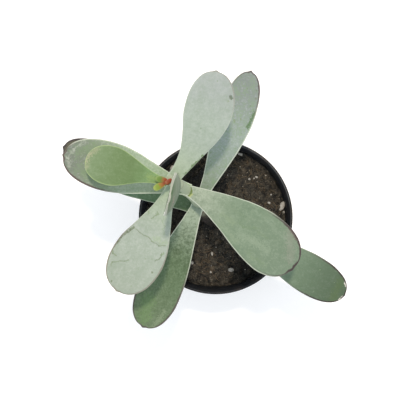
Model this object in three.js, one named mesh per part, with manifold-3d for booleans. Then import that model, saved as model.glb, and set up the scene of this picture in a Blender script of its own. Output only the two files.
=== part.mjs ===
// Potted silver peak cotyledon: a leafy succulent in a round nursery pot.
// Units are millimetres and +Z is up. The origin is the middle of the pot's flat underside.
// The plant has its own frame: its origin is where the stem leaves the soil.
import * as THREE from "three";
import { mergeVertices } from "three/addons/utils/BufferGeometryUtils.js";
import Module from "manifold-3d";

const wasm = await Module();
wasm.setup();

// Clearance between pieces that touch.
const GAP = 0.3;
// Vertices closer than this are one vertex.
const MERGE_DISTANCE = 1e-4;

// Pot: a thin tapered wall with a stiff band under the rim.
const POT_HEIGHT = 76;
const RIM_RADIUS = 45;
const FOOT_RADIUS = 32;
const WALL = 0.9;
const LIP_WIDTH = 1.6;
const LIP_HEIGHT = 2.2;
const EDGE_ROUND = 0.6;
const BAND_DEPTH = 11;
const BAND_STEP = 0.6;
const BAND_CLEARANCE = 0.4;
const FLOOR = 1.6;
const FOOT_ROUND = 1;
const POT_SIDES = 48;
// The floor's underside is flat in the middle and at the foot, with a raised ring between.
const HUB_RADIUS = 13;
const FOOT_RING_WIDTH = 5;
const RING_RECESS = 1.5;
const DRAIN_HOLES = 6;
const DRAIN_RADIUS = 3;
const DRAIN_SIDES = 16;

// Soil
const SOIL_LEVEL = 68;
const SOIL_EDGE_DROP = 1.2;
const SOIL_EDGE_CLEARANCE = 0.2;
// The soil's top is a sum of waves: height, and waves per 2 pi mm across and deep.
const SOIL_WAVES = [
  { height: 0.5, across: 0.19, deep: 0.23, shift: 0.9 },
  { height: 0.4, across: 0.19, deep: -0.23, shift: 1.7 },
  { height: 0.45, across: 0.71, deep: -0.53, shift: 2.1 },
  { height: 0.4, across: 0.47, deep: 0.62, shift: 0 },
  { height: 0.15, across: 0.97, deep: 0.91, shift: 2.1 },
];
const SOIL_RINGS = 13;
const SOIL_SIDES = 40;
const CRUMBS = 36;
const CRUMB_RADIUS = [0.9, 1.9];
const CRUMB_HALVES = [1, 0.8, 0.7];
const CRUMB_FREE_RADIUS = 7;
const GRAIN_ROUGHNESS = [0.8, 1.15];
const GRAIN_SINK = 0.3;
const SEED = 7;

// Perlite grains on the soil: place across and deep, half sizes across and deep.
const PERLITE = [
  { at: [-25.6, 29.2], half: [1.5, 1.5] },
  { at: [39.4, 6.6], half: [1.5, 2.6] },
  { at: [38.0, 4.2], half: [0.9, 0.8] },
  { at: [40.0, 2.6], half: [0.8, 0.9] },
  { at: [15.0, 37.4], half: [1.2, 0.9] },
  { at: [20.1, 22.5], half: [0.8, 0.8] },
  { at: [24.1, 23.7], half: [1.0, 0.7] },
  { at: [29.8, 24.8], half: [0.8, 0.7] },
  { at: [33.2, 13.4], half: [0.7, 0.8] },
  { at: [31.7, 8.6], half: [1.0, 0.8] },
  { at: [-2.1, -21.7], half: [0.8, 1.2] },
  { at: [9.2, -31.3], half: [1.7, 1.4] },
  { at: [-2.7, -32.6], half: [0.8, 0.8] },
  { at: [-13.9, -27.2], half: [0.9, 0.9] },
];

// The stem leaves the soil near the pot's middle and leans over to one side.
const STEM_FOOT = [-2.5, -1.5, SOIL_LEVEL];
const STEM_BURIED = 28;
const STEM_ROUTE = [
  [1.5, -1.5, -STEM_BURIED],
  [0, 0, 0],
  [-3.0, 3.0, 21],
  [-6.9, 9.7, 35],
  [-13.2, 16.1, 50],
  [-17.6, 19.4, 64],
  [-20.8, 20.6, 76],
  [-21.3, 20.6, 78],
];
const STEM_FOOT_RADIUS = 3.5;
const STEM_TIP_RADIUS = 2.3;
const STEM_TOP = 78;
const STEM_SIDES = 12;
const STEM_STATIONS = 30;
// Each pair of leaves leaves a swelling, also the two lowest pairs, which have dropped.
const NODE_HEIGHTS = [5, 12, 21, 35, 50, 64, 76];
const NODE_SWELLING = 0.45;
const NODE_LENGTH = 2.2;

// Leaves. height: where the leaf leaves the stem. turn: its direction, in degrees from +X.
// reach, sideways and rise: its tip, seen from its base along, across and above that direction.
// bow and arch: how far its middle stands to the side and above the straight line.
// widest: the share of its length at which it is widest. foot: its width at the base, as a share.
// taper: how long it stays narrow. cup: how far its margins stand up. roll and twist: in degrees.
const LEAVES = {
  leaf_1_right: {
    height: 21, turn: -29.6, reach: 87.8, sideways: 0, rise: 5, bow: 0, arch: 3,
    width: 23.5, widest: 0.74, foot: 0.27, taper: 1.8, thick: 4.6, cup: 0.1, roll: 5, twist: 8,
  },
  leaf_1_left: {
    height: 21, turn: 154.2, reach: 86.5, sideways: 0, rise: 8, bow: 0, arch: 3,
    width: 24, widest: 0.7, foot: 0.27, taper: 1.4, thick: 4.6, cup: 0.12, roll: -6, twist: -6,
  },
  leaf_2_front: {
    height: 35, turn: 246, reach: 71, sideways: 0, rise: 12, bow: 0.4, arch: 3,
    width: 24.4, widest: 0.72, foot: 0.3, taper: 1.4, thick: 4.6, cup: 0.1, roll: 4, twist: -8,
  },
  leaf_2_back: {
    height: 35, turn: 68, reach: 73, sideways: 0, rise: 18, bow: -1, arch: 3,
    width: 19.6, widest: 0.68, foot: 0.3, taper: 1.3, thick: 4.4, cup: 0.14, roll: -6, twist: 6,
  },
  leaf_3_right: {
    height: 50, turn: -36, reach: 66.2, sideways: 0, rise: 17, bow: 2.8, arch: 2,
    width: 29.6, widest: 0.69, foot: 0.27, taper: 1.3, thick: 4.6, cup: 0.08, roll: -3, twist: 5,
  },
  leaf_3_left: {
    height: 50, turn: 163.3, reach: 61.5, sideways: 0, rise: 26, bow: 0, arch: 2,
    width: 24.6, widest: 0.7, foot: 0.35, taper: 1.3, thick: 4.4, cup: 0.12, roll: 4, twist: -5,
  },
  leaf_4_back: {
    height: 64, turn: 69, reach: 54, sideways: 0, rise: 34, bow: -2.7, arch: 2,
    width: 23.4, widest: 0.67, foot: 0.33, taper: 1.5, thick: 4.2, cup: 0.1, roll: 4, twist: -6,
  },
  leaf_4_front: {
    height: 64, turn: 241, reach: 58.5, sideways: -1, rise: 24, bow: 2.1, arch: 2,
    width: 25.8, widest: 0.72, foot: 0.27, taper: 1.6, thick: 4.2, cup: 0.07, roll: -3, twist: 6,
  },
  leaf_5_left: {
    height: 76, turn: 168, reach: 40.5, sideways: 0, rise: 10, bow: 0, arch: 2,
    width: 20, widest: 0.69, foot: 0.26, taper: 1.35, thick: 3.6, cup: 0.08, roll: 5, twist: 8,
  },
  leaf_5_upright: {
    height: 76, turn: 344, reach: 2.6, sideways: -8.5, rise: 50, bow: -1, arch: -1.4,
    width: 20, widest: 0.66, foot: 0.3, taper: 1.4, thick: 3.9, cup: 0.2, roll: 0, twist: 5,
  },
};
const LEAF_START = 1.8;
const LEAF_END_FULLNESS = 2.25;
const LEAF_END_BLUNTNESS = 14;
// A leaf thins towards its end, and its lower face swells more than its upper one.
const LEAF_THINNING = 0.35;
const UPPER_FACE_SHARE = 0.375;
// The channel is deepest at the foot. Powers under 1 square off the section.
const CUP_AT_FOOT = 1.6;
const MARGIN_POWER = 0.85;
const FACE_POWER = 0.7;
const LEAF_STATIONS = 20;
const LEAF_SIDES = 12;
const TIP_POINT_SHARE = 0.04;

// The bud: two tiny leaves that share one base on top of the stem.
const BUD_LEAVES = [
  {
    height: 79.2, turn: 203, reach: 6.6, sideways: 0, rise: 4.6, bow: 0, arch: 0.6,
    width: 4.6, widest: 0.68, foot: 0.5, taper: 1.2, thick: 2.6, cup: 0.1, roll: 0, twist: 0,
  },
  {
    height: 79.2, turn: 172, reach: 3.8, sideways: 0, rise: 5.4, bow: 0, arch: 0.6,
    width: 3.4, widest: 0.66, foot: 0.6, taper: 1.2, thick: 2.2, cup: 0.1, roll: 0, twist: 0,
  },
];
const BUD_BASE_RADIUS = 1.5;
const BUD_BASE_HEIGHT = 2.2;
const BUD_STATIONS = 10;
const BUD_SIDES = 8;

const material = (color, roughness) =>
  new THREE.MeshStandardMaterial({ color, roughness, metalness: 0 });

const MATERIALS = {
  pot: material(0x141517, 0.45),
  soil: material(0x33261d, 0.95),
  stem: material(0x8f8b72, 0.75),
  growing_tip: material(0x9fae3a, 0.55),
  leaf_1_right: material(0x79917a, 0.6),
  leaf_1_left: material(0x5c6f58, 0.6),
  leaf_2_front: material(0x6f8768, 0.6),
  leaf_2_back: material(0xa3b3a3, 0.65),
  leaf_3_right: material(0x94a68e, 0.65),
  leaf_3_left: material(0x98a894, 0.65),
  leaf_4_back: material(0xb9c6b8, 0.7),
  leaf_4_front: material(0xbcc8ba, 0.7),
  leaf_5_left: material(0x88a168, 0.55),
  leaf_5_upright: material(0xa0aca2, 0.65),
};

// Repeatable random numbers from 0 to 1.
function randomFrom(seed) {
  let state = seed;
  return () => {
    state = (state + 0x6d2b79f5) | 0;
    let mixed = Math.imul(state ^ (state >>> 15), 1 | state);
    mixed = (mixed + Math.imul(mixed ^ (mixed >>> 7), 61 | mixed)) ^ mixed;
    return ((mixed ^ (mixed >>> 14)) >>> 0) / 4294967296;
  };
}

// A copy of a geometry with its places and triangles only.
function bareGeometry(geometry) {
  const bare = new THREE.BufferGeometry();
  bare.setAttribute("position", geometry.getAttribute("position"));
  bare.setIndex(geometry.getIndex());
  return bare;
}

// A closed geometry as a solid that can be joined and cut.
function solidOf(geometry) {
  const merged = mergeVertices(bareGeometry(geometry), MERGE_DISTANCE);
  return new wasm.Manifold(new wasm.Mesh({
    numProp: 3,
    vertProperties: new Float32Array(merged.getAttribute("position").array),
    triVerts: new Uint32Array(merged.getIndex().array),
  }));
}

function geometryOf(solid) {
  const mesh = solid.getMesh();
  const geometry = new THREE.BufferGeometry();
  geometry.setAttribute("position", new THREE.BufferAttribute(mesh.vertProperties, 3));
  geometry.setIndex(new THREE.BufferAttribute(mesh.triVerts, 1));
  geometry.computeVertexNormals();
  return geometry;
}

function meshOf(name, solid) {
  const mesh = new THREE.Mesh(geometryOf(solid), MATERIALS[name]);
  mesh.name = name;
  return mesh;
}

// Moves every vertex of a geometry to where the given function puts it.
function reshape(geometry, place) {
  const position = geometry.getAttribute("position");
  const vertex = new THREE.Vector3();
  for (let index = 0; index < position.count; index += 1) {
    vertex.fromBufferAttribute(position, index);
    const placed = place(vertex);
    position.setXYZ(index, placed.x, placed.y, placed.z);
  }
  return geometry;
}

// The pot's outer and inner radius at a height, under the band.
const WALL_TOP_RADIUS = RIM_RADIUS - BAND_STEP - BAND_CLEARANCE;
const wallRadius = (z) => THREE.MathUtils.lerp(FOOT_RADIUS, WALL_TOP_RADIUS, z / POT_HEIGHT);
const insideRadius = (z) => wallRadius(z) - WALL;

function potSolid() {
  const bandFoot = POT_HEIGHT - BAND_DEPTH;
  const floorTop = RING_RECESS + FLOOR;
  const ringInside = HUB_RADIUS;
  const ringOutside = FOOT_RADIUS - FOOT_RING_WIDTH;
  const profile = [
    [0, 0],
    [ringInside, 0],
    [ringInside + RING_RECESS, RING_RECESS],
    [ringOutside - RING_RECESS, RING_RECESS],
    [ringOutside, 0],
    [FOOT_RADIUS - FOOT_ROUND, 0],
    [FOOT_RADIUS, FOOT_ROUND],
    [wallRadius(bandFoot), bandFoot],
    [wallRadius(bandFoot) + BAND_STEP, bandFoot + BAND_STEP],
    [RIM_RADIUS - EDGE_ROUND, POT_HEIGHT - LIP_HEIGHT - EDGE_ROUND],
    [RIM_RADIUS, POT_HEIGHT - LIP_HEIGHT],
    [RIM_RADIUS, POT_HEIGHT - EDGE_ROUND],
    [RIM_RADIUS - EDGE_ROUND, POT_HEIGHT],
    [RIM_RADIUS - LIP_WIDTH, POT_HEIGHT],
    [insideRadius(POT_HEIGHT - LIP_HEIGHT), POT_HEIGHT - LIP_HEIGHT],
    [insideRadius(floorTop + FOOT_ROUND), floorTop + FOOT_ROUND],
    [insideRadius(floorTop) - FOOT_ROUND, floorTop],
    [0, floorTop],
  ].map(([radius, height]) => new THREE.Vector2(radius, height));
  let pot = solidOf(new THREE.LatheGeometry(profile, POT_SIDES).rotateX(Math.PI / 2));
  const holeCircle = (ringInside + ringOutside) / 2;
  for (let hole = 0; hole < DRAIN_HOLES; hole += 1) {
    const angle = (hole / DRAIN_HOLES) * 2 * Math.PI;
    const drill = new THREE.CylinderGeometry(DRAIN_RADIUS, DRAIN_RADIUS, 2 * POT_HEIGHT, DRAIN_SIDES);
    drill.rotateX(Math.PI / 2);
    drill.translate(holeCircle * Math.cos(angle), holeCircle * Math.sin(angle), 0);
    pot = pot.subtract(solidOf(drill));
  }
  return pot;
}

// Height of the soil's uneven top, which drops a little towards the wall.
function soilHeight(x, y) {
  const outward = Math.hypot(x, y) / insideRadius(SOIL_LEVEL);
  const relief = SOIL_WAVES.reduce(
    (sum, wave) => sum + wave.height * Math.sin(wave.across * x + wave.deep * y + wave.shift),
    0,
  );
  return SOIL_LEVEL + relief - SOIL_EDGE_DROP * outward ** 6;
}

// A rough grain: a ball with its corners pushed in and out, half sunk in the soil.
function grainSolid(x, y, halves, turn, detail, random) {
  const ball = mergeVertices(bareGeometry(new THREE.IcosahedronGeometry(1, detail)), MERGE_DISTANCE);
  reshape(ball, (vertex) => vertex.multiplyScalar(THREE.MathUtils.lerp(...GRAIN_ROUGHNESS, random())));
  ball.scale(...halves);
  ball.rotateZ(turn);
  ball.translate(x, y, soilHeight(x, y) - GRAIN_SINK);
  return solidOf(ball);
}

function soilBody() {
  const bottom = RING_RECESS + FLOOR + GAP;
  const topRadius = insideRadius(SOIL_LEVEL) - GAP - SOIL_EDGE_CLEARANCE;
  const profile = [
    [0, bottom],
    [insideRadius(bottom) - GAP - FOOT_ROUND, bottom],
    [insideRadius(bottom + FOOT_ROUND) - GAP, bottom + FOOT_ROUND],
  ];
  for (let ring = SOIL_RINGS; ring >= 0; ring -= 1) {
    profile.push([(topRadius * ring) / SOIL_RINGS, SOIL_LEVEL]);
  }
  const points = profile.map(([radius, height]) => new THREE.Vector2(radius, height));
  const body = new THREE.LatheGeometry(points, SOIL_SIDES).rotateX(Math.PI / 2);
  return reshape(body, (vertex) => {
    const onTop = vertex.z > SOIL_LEVEL - GAP;
    return onTop ? vertex.setZ(soilHeight(vertex.x, vertex.y)) : vertex;
  });
}

function soilSolid(stemHole) {
  let soil = solidOf(soilBody());
  const random = randomFrom(SEED);
  const grainLimit = insideRadius(SOIL_LEVEL) - CRUMB_RADIUS[1] - 2 * GAP;
  for (let crumb = 0; crumb < CRUMBS; crumb += 1) {
    const outward = grainLimit * Math.sqrt(random());
    const angle = 2 * Math.PI * random();
    const size = THREE.MathUtils.lerp(...CRUMB_RADIUS, random() ** 2);
    const [x, y] = [outward * Math.cos(angle), outward * Math.sin(angle)];
    if (Math.hypot(x - STEM_FOOT[0], y - STEM_FOOT[1]) < CRUMB_FREE_RADIUS) {
      continue;
    }
    const halves = CRUMB_HALVES.map((half) => half * size);
    soil = soil.add(grainSolid(x, y, halves, Math.PI * random(), 0, random));
  }
  for (const { at, half } of PERLITE) {
    const halves = [...half, Math.min(...half)];
    soil = soil.add(grainSolid(...at, halves, 0, 1, random));
  }
  return soil.subtract(stemHole);
}

const stemCurve = new THREE.CatmullRomCurve3(STEM_ROUTE.map((point) => new THREE.Vector3(...point)));

// The point of the stem's middle line at a height above the soil.
function stemAt(height) {
  let low = 0;
  let high = 1;
  for (let step = 0; step < 40; step += 1) {
    const middle = (low + high) / 2;
    if (stemCurve.getPoint(middle).z < height) {
      low = middle;
    } else {
      high = middle;
    }
  }
  return stemCurve.getPoint(low);
}

function stemRadius(height) {
  const share = THREE.MathUtils.clamp(height / STEM_TOP, 0, 1);
  const plain = THREE.MathUtils.lerp(STEM_FOOT_RADIUS, STEM_TIP_RADIUS, share);
  const swelling = NODE_HEIGHTS.reduce(
    (sum, node) => sum + NODE_SWELLING * Math.exp(-(((height - node) / NODE_LENGTH) ** 2)),
    0,
  );
  return plain + swelling;
}

// The stem, grown by a margin all round. The soil and the leaves are cut with a grown one.
function stemSolid(margin) {
  const tube = new THREE.CylinderGeometry(1, 1, 1, STEM_SIDES, STEM_STATIONS);
  reshape(tube, (vertex) => {
    const along = vertex.y + 0.5;
    const height = -STEM_BURIED + along * (STEM_TOP + STEM_BURIED);
    const middle = stemAt(height);
    const ahead = stemAt(Math.min(height + 0.5, STEM_TOP));
    const behind = stemAt(Math.max(height - 0.5, -STEM_BURIED));
    const direction = ahead.sub(behind).normalize();
    const side = new THREE.Vector3(0, 1, 0).cross(direction).normalize();
    const front = side.clone().cross(direction);
    const radius = stemRadius(height) + margin;
    middle.addScaledVector(side, radius * vertex.x);
    middle.addScaledVector(front, radius * vertex.z);
    const atEnd = Math.abs(along - 0.5) > 0.499 ? Math.sign(along - 0.5) : 0;
    return middle.addScaledVector(direction, margin * atEnd);
  });
  return solidOf(tube);
}

// Half width of a leaf as a share: narrow at the foot, widest past the middle, round at the end.
function leafShape(along, leaf) {
  if (along < leaf.widest) {
    const climb = Math.sin((Math.PI / 2) * (along / leaf.widest) ** leaf.taper);
    return leaf.foot + (1 - leaf.foot) * climb;
  }
  const ending = (along - leaf.widest) / (1 - leaf.widest);
  return Math.max(0, 1 - ending ** LEAF_END_FULLNESS) ** (1 / LEAF_END_FULLNESS);
}

// Middle line of a leaf and the directions across and above it.
function leafFrame(along, leaf) {
  const turn = THREE.MathUtils.degToRad(leaf.turn);
  const outward = new THREE.Vector3(Math.cos(turn), Math.sin(turn), 0);
  const across = new THREE.Vector3(-Math.sin(turn), Math.cos(turn), 0);
  const start = stemAt(Math.min(leaf.height, STEM_TOP)).setZ(leaf.height);
  start.addScaledVector(outward, LEAF_START);
  const end = start.clone().addScaledVector(outward, leaf.reach);
  end.addScaledVector(across, leaf.sideways);
  end.z += leaf.rise;
  const above = end.clone().sub(start).normalize().cross(across);
  const middle = start.clone().lerp(end, 0.5);
  middle.addScaledVector(across, 2 * leaf.bow).addScaledVector(above, 2 * leaf.arch);
  const line = new THREE.QuadraticBezierCurve3(start, middle, end);
  const direction = line.getTangent(along);
  const normal = direction.clone().cross(across).normalize();
  const side = normal.clone().cross(direction);
  const roll = THREE.MathUtils.degToRad(leaf.roll + leaf.twist * (along - 0.5));
  side.applyAxisAngle(direction, roll);
  normal.applyAxisAngle(direction, roll);
  return { point: line.getPoint(along), direction, side, normal };
}

// Keeps a value's sign and raises its size to a power.
const signedPower = (value, power) => Math.sign(value) * Math.abs(value) ** power;

// A fleshy leaf: a ball drawn out along the leaf's middle line into a blade with blunt margins.
function leafSolid(leaf, stations, sides) {
  const ball = new THREE.SphereGeometry(1, sides, stations);
  reshape(ball, (vertex) => {
    const along = (1 - vertex.y) / 2;
    const ring = Math.hypot(vertex.x, vertex.z);
    const onAxis = ring < 1e-6;
    const across = onAxis ? 0 : signedPower(vertex.x / ring, MARGIN_POWER);
    const through = onAxis ? 0 : signedPower(vertex.z / ring, FACE_POWER);
    const { point, direction, side, normal } = leafFrame(along, leaf);
    const halfWidth = (leaf.width / 2) * leafShape(along, leaf);
    const rounding = Math.sqrt(Math.max(0, 1 - along ** LEAF_END_BLUNTNESS));
    const faceShare = through > 0 ? UPPER_FACE_SHARE : 1 - UPPER_FACE_SHARE;
    const halfThick = leaf.thick * faceShare * (1 - LEAF_THINNING * along) * rounding;
    const channel = leaf.cup * (CUP_AT_FOOT - along) * across ** 2 * halfWidth;
    point.addScaledVector(side, halfWidth * across);
    point.addScaledVector(normal, halfThick * through + channel);
    const tipPoint = along > 1 - 1e-6 ? TIP_POINT_SHARE * leaf.width : 0;
    return point.addScaledVector(direction, tipPoint);
  });
  return solidOf(ball);
}

function budSolid() {
  const base = new THREE.SphereGeometry(1, 10, 6);
  base.scale(BUD_BASE_RADIUS, BUD_BASE_RADIUS, BUD_BASE_HEIGHT);
  const top = stemAt(STEM_TOP);
  base.translate(top.x - BUD_BASE_RADIUS / 2, top.y, BUD_LEAVES[0].height);
  const leaves = BUD_LEAVES.map((leaf) => leafSolid(leaf, BUD_STATIONS, BUD_SIDES));
  return leaves.reduce((bud, leaf) => bud.add(leaf), solidOf(base));
}

const grownStem = stemSolid(GAP);
const plant = new THREE.Group();
plant.position.set(...STEM_FOOT);
plant.add(meshOf("stem", stemSolid(0)));
for (const [name, leaf] of Object.entries(LEAVES)) {
  plant.add(meshOf(name, leafSolid(leaf, LEAF_STATIONS, LEAF_SIDES).subtract(grownStem)));
}
plant.add(meshOf("growing_tip", budSolid().subtract(grownStem)));

const holder = new THREE.Group();
holder.add(meshOf("pot", potSolid()));
holder.add(meshOf("soil", soilSolid(grownStem.translate(STEM_FOOT))));

const pottedPlant = new THREE.Group();
pottedPlant.add(holder, plant);

export default pottedPlant;
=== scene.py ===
"""A potted silver peak cotyledon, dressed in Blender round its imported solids.

Sizes are written in millimetres and become metres where a mesh is made. The plant's heights
are measured from the soil at the foot of its stem. Colours are written as 0 to 255 display
values and become linear ones where a material is made. Noise scales are per metre, apart from
those on a leaf's own map, which are per millimetre.
"""

from __future__ import annotations

import logging
import math
from dataclasses import dataclass
from enum import Enum
from functools import cache
from typing import Callable, Mapping, Optional, Sequence, Union

import bmesh
import bpy
import numpy as np
from bpy.types import Material, Mesh, Node, NodeSocket, NodeTree, Object
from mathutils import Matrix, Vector

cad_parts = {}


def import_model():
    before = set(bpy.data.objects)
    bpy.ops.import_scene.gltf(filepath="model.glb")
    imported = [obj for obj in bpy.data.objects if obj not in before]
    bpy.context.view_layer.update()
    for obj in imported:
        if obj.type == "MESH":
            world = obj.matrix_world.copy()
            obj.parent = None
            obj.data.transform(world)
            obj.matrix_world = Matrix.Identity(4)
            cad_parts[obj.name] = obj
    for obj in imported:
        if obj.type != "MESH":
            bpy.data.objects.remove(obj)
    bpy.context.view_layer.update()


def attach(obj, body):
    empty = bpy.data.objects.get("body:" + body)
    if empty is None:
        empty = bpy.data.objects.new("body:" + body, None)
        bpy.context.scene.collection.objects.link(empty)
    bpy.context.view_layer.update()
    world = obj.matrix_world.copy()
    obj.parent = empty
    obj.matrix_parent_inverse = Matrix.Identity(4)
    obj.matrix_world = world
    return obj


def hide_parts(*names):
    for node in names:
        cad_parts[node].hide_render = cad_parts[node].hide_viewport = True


LOG = logging.getLogger("cotyledon")
MM = 0.001
WHOLE_BODY = "root"

Triple = tuple[float, float, float]
Pair = tuple[float, float]


def linear(color: Triple) -> tuple[float, float, float, float]:
    """Turns a display colour into the linear colour that a shader takes.

    Args:
        color: Red, green and blue from 0 to 255.

    Returns:
        Linear red, green and blue from 0 to 1, and an alpha of 1.
    """
    shares = [channel / 255 for channel in color]
    parts = [s / 12.92 if s <= 0.04045 else ((s + 0.055) / 1.055) ** 2.4 for s in shares]
    return (parts[0], parts[1], parts[2], 1.0)


def metres(point: Sequence[float]) -> Vector:
    """A point in millimetres as a vector in metres."""
    return Vector(point) * MM


def linked(made: Object) -> Object:
    """Links a new object to the scene."""
    bpy.context.scene.collection.objects.link(made)
    return made


def titled(name: str) -> str:
    """The name of the input that takes a value: Foot Radius for foot_radius."""
    return name.replace("_", " ").title()


def _operator(operation: str, swapped: bool = False) -> Callable[["Wire", "Value"], "Wire"]:
    """Makes an operator between values in a node tree.

    Args:
        operation: What the Math node that it adds does.
        swapped: Whether the other value comes first.

    Returns:
        The operator.
    """

    def operator(self: "Wire", other: "Value") -> "Wire":
        """Adds the node."""
        first, second = (other, self) if swapped else (self, other)
        return self.graph.math(operation, first, second)

    return operator


class Wire:
    """One value in a node tree. Arithmetic on it adds the nodes that work the result out."""

    def __init__(self, graph: "Graph", socket: NodeSocket) -> None:
        """Keeps the graph and the socket that the value comes from."""
        self.graph = graph
        self.socket = socket

    __add__ = __radd__ = _operator("ADD")
    __sub__ = _operator("SUBTRACT")
    __rsub__ = _operator("SUBTRACT", swapped=True)
    __mul__ = __rmul__ = _operator("MULTIPLY")
    __truediv__ = _operator("DIVIDE")
    __pow__ = _operator("POWER")
    __lt__ = _operator("LESS_THAN")
    __gt__ = _operator("GREATER_THAN")

    def __abs__(self) -> "Wire":
        """This value without its sign."""
        return self.graph.math("ABSOLUTE", self)


Value = Union[Wire, float]
Paint = Union[Wire, Triple]


class Graph:
    """Adds nodes to one tree and joins them."""

    def __init__(self, tree: NodeTree) -> None:
        """Keeps the tree that the nodes go into."""
        self.tree = tree

    def node(self, kind: str, inputs: Optional[Mapping] = None, **settings: object) -> Node:
        """Adds a node.

        Args:
            kind: The node's type.
            inputs: A wire or a plain value for each input, by name or number. None leaves it as it is.
            settings: The node's own properties.

        Returns:
            The new node.
        """
        node = self.tree.nodes.new(kind)
        for name, setting in settings.items():
            setattr(node, name, setting)
        for name, value in (inputs or {}).items():
            if isinstance(value, Wire):
                self.tree.links.new(value.socket, node.inputs[name])
            elif value is not None:
                node.inputs[name].default_value = value
        return node

    def wire(
        self, kind: str, inputs: Optional[Mapping] = None, output: Union[int, str] = 0, **settings: object
    ) -> Wire:
        """Adds a node and gives one of its outputs as a wire."""
        return Wire(self, self.node(kind, inputs, **settings).outputs[output])

    def math(self, operation: str, first: Value, second: Value = 0.0) -> Wire:
        """Adds a Math node."""
        return self.wire("ShaderNodeMath", {0: first, 1: second}, operation=operation)

    def vector(self, operation: str, first: object, second: object = None) -> Wire:
        """Adds a Vector Math node. LENGTH, DISTANCE and DOT_PRODUCT give a number."""
        output = 1 if operation in ("LENGTH", "DISTANCE", "DOT_PRODUCT") else 0
        return self.wire("ShaderNodeVectorMath", {0: first, 1: second}, output, operation=operation)

    def scaled(self, vector: Wire, scale: Value) -> Wire:
        """A vector made longer or shorter."""
        return self.wire("ShaderNodeVectorMath", {0: vector, "Scale": scale}, operation="SCALE")

    def moved(self, point: Wire, direction: Wire, distance: Value) -> Wire:
        """A point moved a distance in a direction."""
        return self.vector("ADD", point, self.scaled(direction, distance))

    def split(self, vector: Wire) -> tuple[Wire, ...]:
        """The three parts of a vector."""
        return tuple(Wire(self, part) for part in self.node("ShaderNodeSeparateXYZ", {0: vector}).outputs)

    def joined(self, x: Value, y: Value, z: Value) -> Wire:
        """A vector made of three values."""
        return self.wire("ShaderNodeCombineXYZ", {0: x, 1: y, 2: z})

    def radius(self, x: Wire, y: Wire) -> Wire:
        """How far a place is from the middle."""
        return self.math("SQRT", x * x + y * y)

    def at_least(self, value: Value, least: float) -> Wire:
        """The value, or the least one where that is more."""
        return self.math("MAXIMUM", value, least)

    def span(self, value: Wire, low: Value, high: Value, start: Value = 0.0, end: Value = 1.0) -> Wire:
        """Runs smoothly from start to end while the value goes from low to high."""
        inputs = {0: value, 1: low, 2: high, 3: start, 4: end}
        return self.wire("ShaderNodeMapRange", inputs, interpolation_type="SMOOTHSTEP")

    def fall(self, value: Wire, low: Value, high: Value) -> Wire:
        """Runs smoothly from 1 to 0 while the value goes from low to high."""
        return self.span(value, low, high, 1.0, 0.0)

    def between(self, share: Value, first: Value, second: Value) -> Wire:
        """A value between two others."""
        return self.wire("ShaderNodeMix", {0: share, 2: first, 3: second}, data_type="FLOAT")

    def point_between(self, share: Value, first: Wire, second: Wire) -> Wire:
        """A point between two others."""
        return self.wire("ShaderNodeMix", {0: share, 4: first, 5: second}, 1, data_type="VECTOR")

    def tint(self, share: Value, first: Paint, second: Paint) -> Wire:
        """A colour between two others, which are wires or display colours."""
        first, second = (paint if isinstance(paint, Wire) else linear(paint) for paint in (first, second))
        return self.wire("ShaderNodeMix", {0: share, 6: first, 7: second}, 2, data_type="RGBA")

    def noise(self, place: Wire, scale: Value, detail: float = 2.0, roughness: float = 0.5) -> Wire:
        """Smooth noise from 0 to 1, about 0.5 on the average."""
        inputs = {"Vector": place, "Scale": scale, "Detail": detail, "Roughness": roughness}
        return self.wire("ShaderNodeTexNoise", inputs)

    def clamped(self, value: Wire) -> Wire:
        """The value held between 0 and 1."""
        return self.wire("ShaderNodeClamp", {0: value})

    def signed_power(self, value: Wire, power: float) -> Wire:
        """Raises a value's size to a power and keeps its sign."""
        return self.math("SIGN", value) * abs(value) ** power


class Socket(Enum):
    """The kinds of socket that the trees here have."""

    FLOAT = "NodeSocketFloat"
    WHOLE = "NodeSocketInt"
    VECTOR = "NodeSocketVector"
    GEOMETRY = "NodeSocketGeometry"
    MATERIAL = "NodeSocketMaterial"

    @classmethod
    def of(cls, value: Union[float, int, Triple]) -> "Socket":
        """The kind of socket that takes a value."""
        return {float: cls.FLOAT, int: cls.WHOLE}.get(type(value), cls.VECTOR)


class GroupTree(Graph):
    """A node tree of its own, with named inputs and one output."""

    def __init__(self, name: str, kind: str, inputs: Mapping[str, Socket], output: str, result: Socket) -> None:
        """Makes the tree and its sockets.

        Args:
            name: The tree's name.
            kind: The tree's type.
            inputs: The kind of each input, by name.
            output: The name of its output.
            result: The kind of its output.
        """
        super().__init__(bpy.data.node_groups.new(name, kind))
        for label, socket in inputs.items():
            self.tree.interface.new_socket(label, in_out="INPUT", socket_type=socket.value)
        self.tree.interface.new_socket(output, in_out="OUTPUT", socket_type=result.value)
        self.entry = self.tree.nodes.new("NodeGroupInput")
        self.exit = self.tree.nodes.new("NodeGroupOutput")

    def __getitem__(self, name: str) -> Wire:
        """The value of one of the tree's inputs."""
        return Wire(self, self.entry.outputs[name])

    def result(self, value: Wire) -> NodeTree:
        """Joins a value to the tree's output and gives the finished tree."""
        self.tree.links.new(value.socket, self.exit.inputs[0])
        return self.tree


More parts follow.
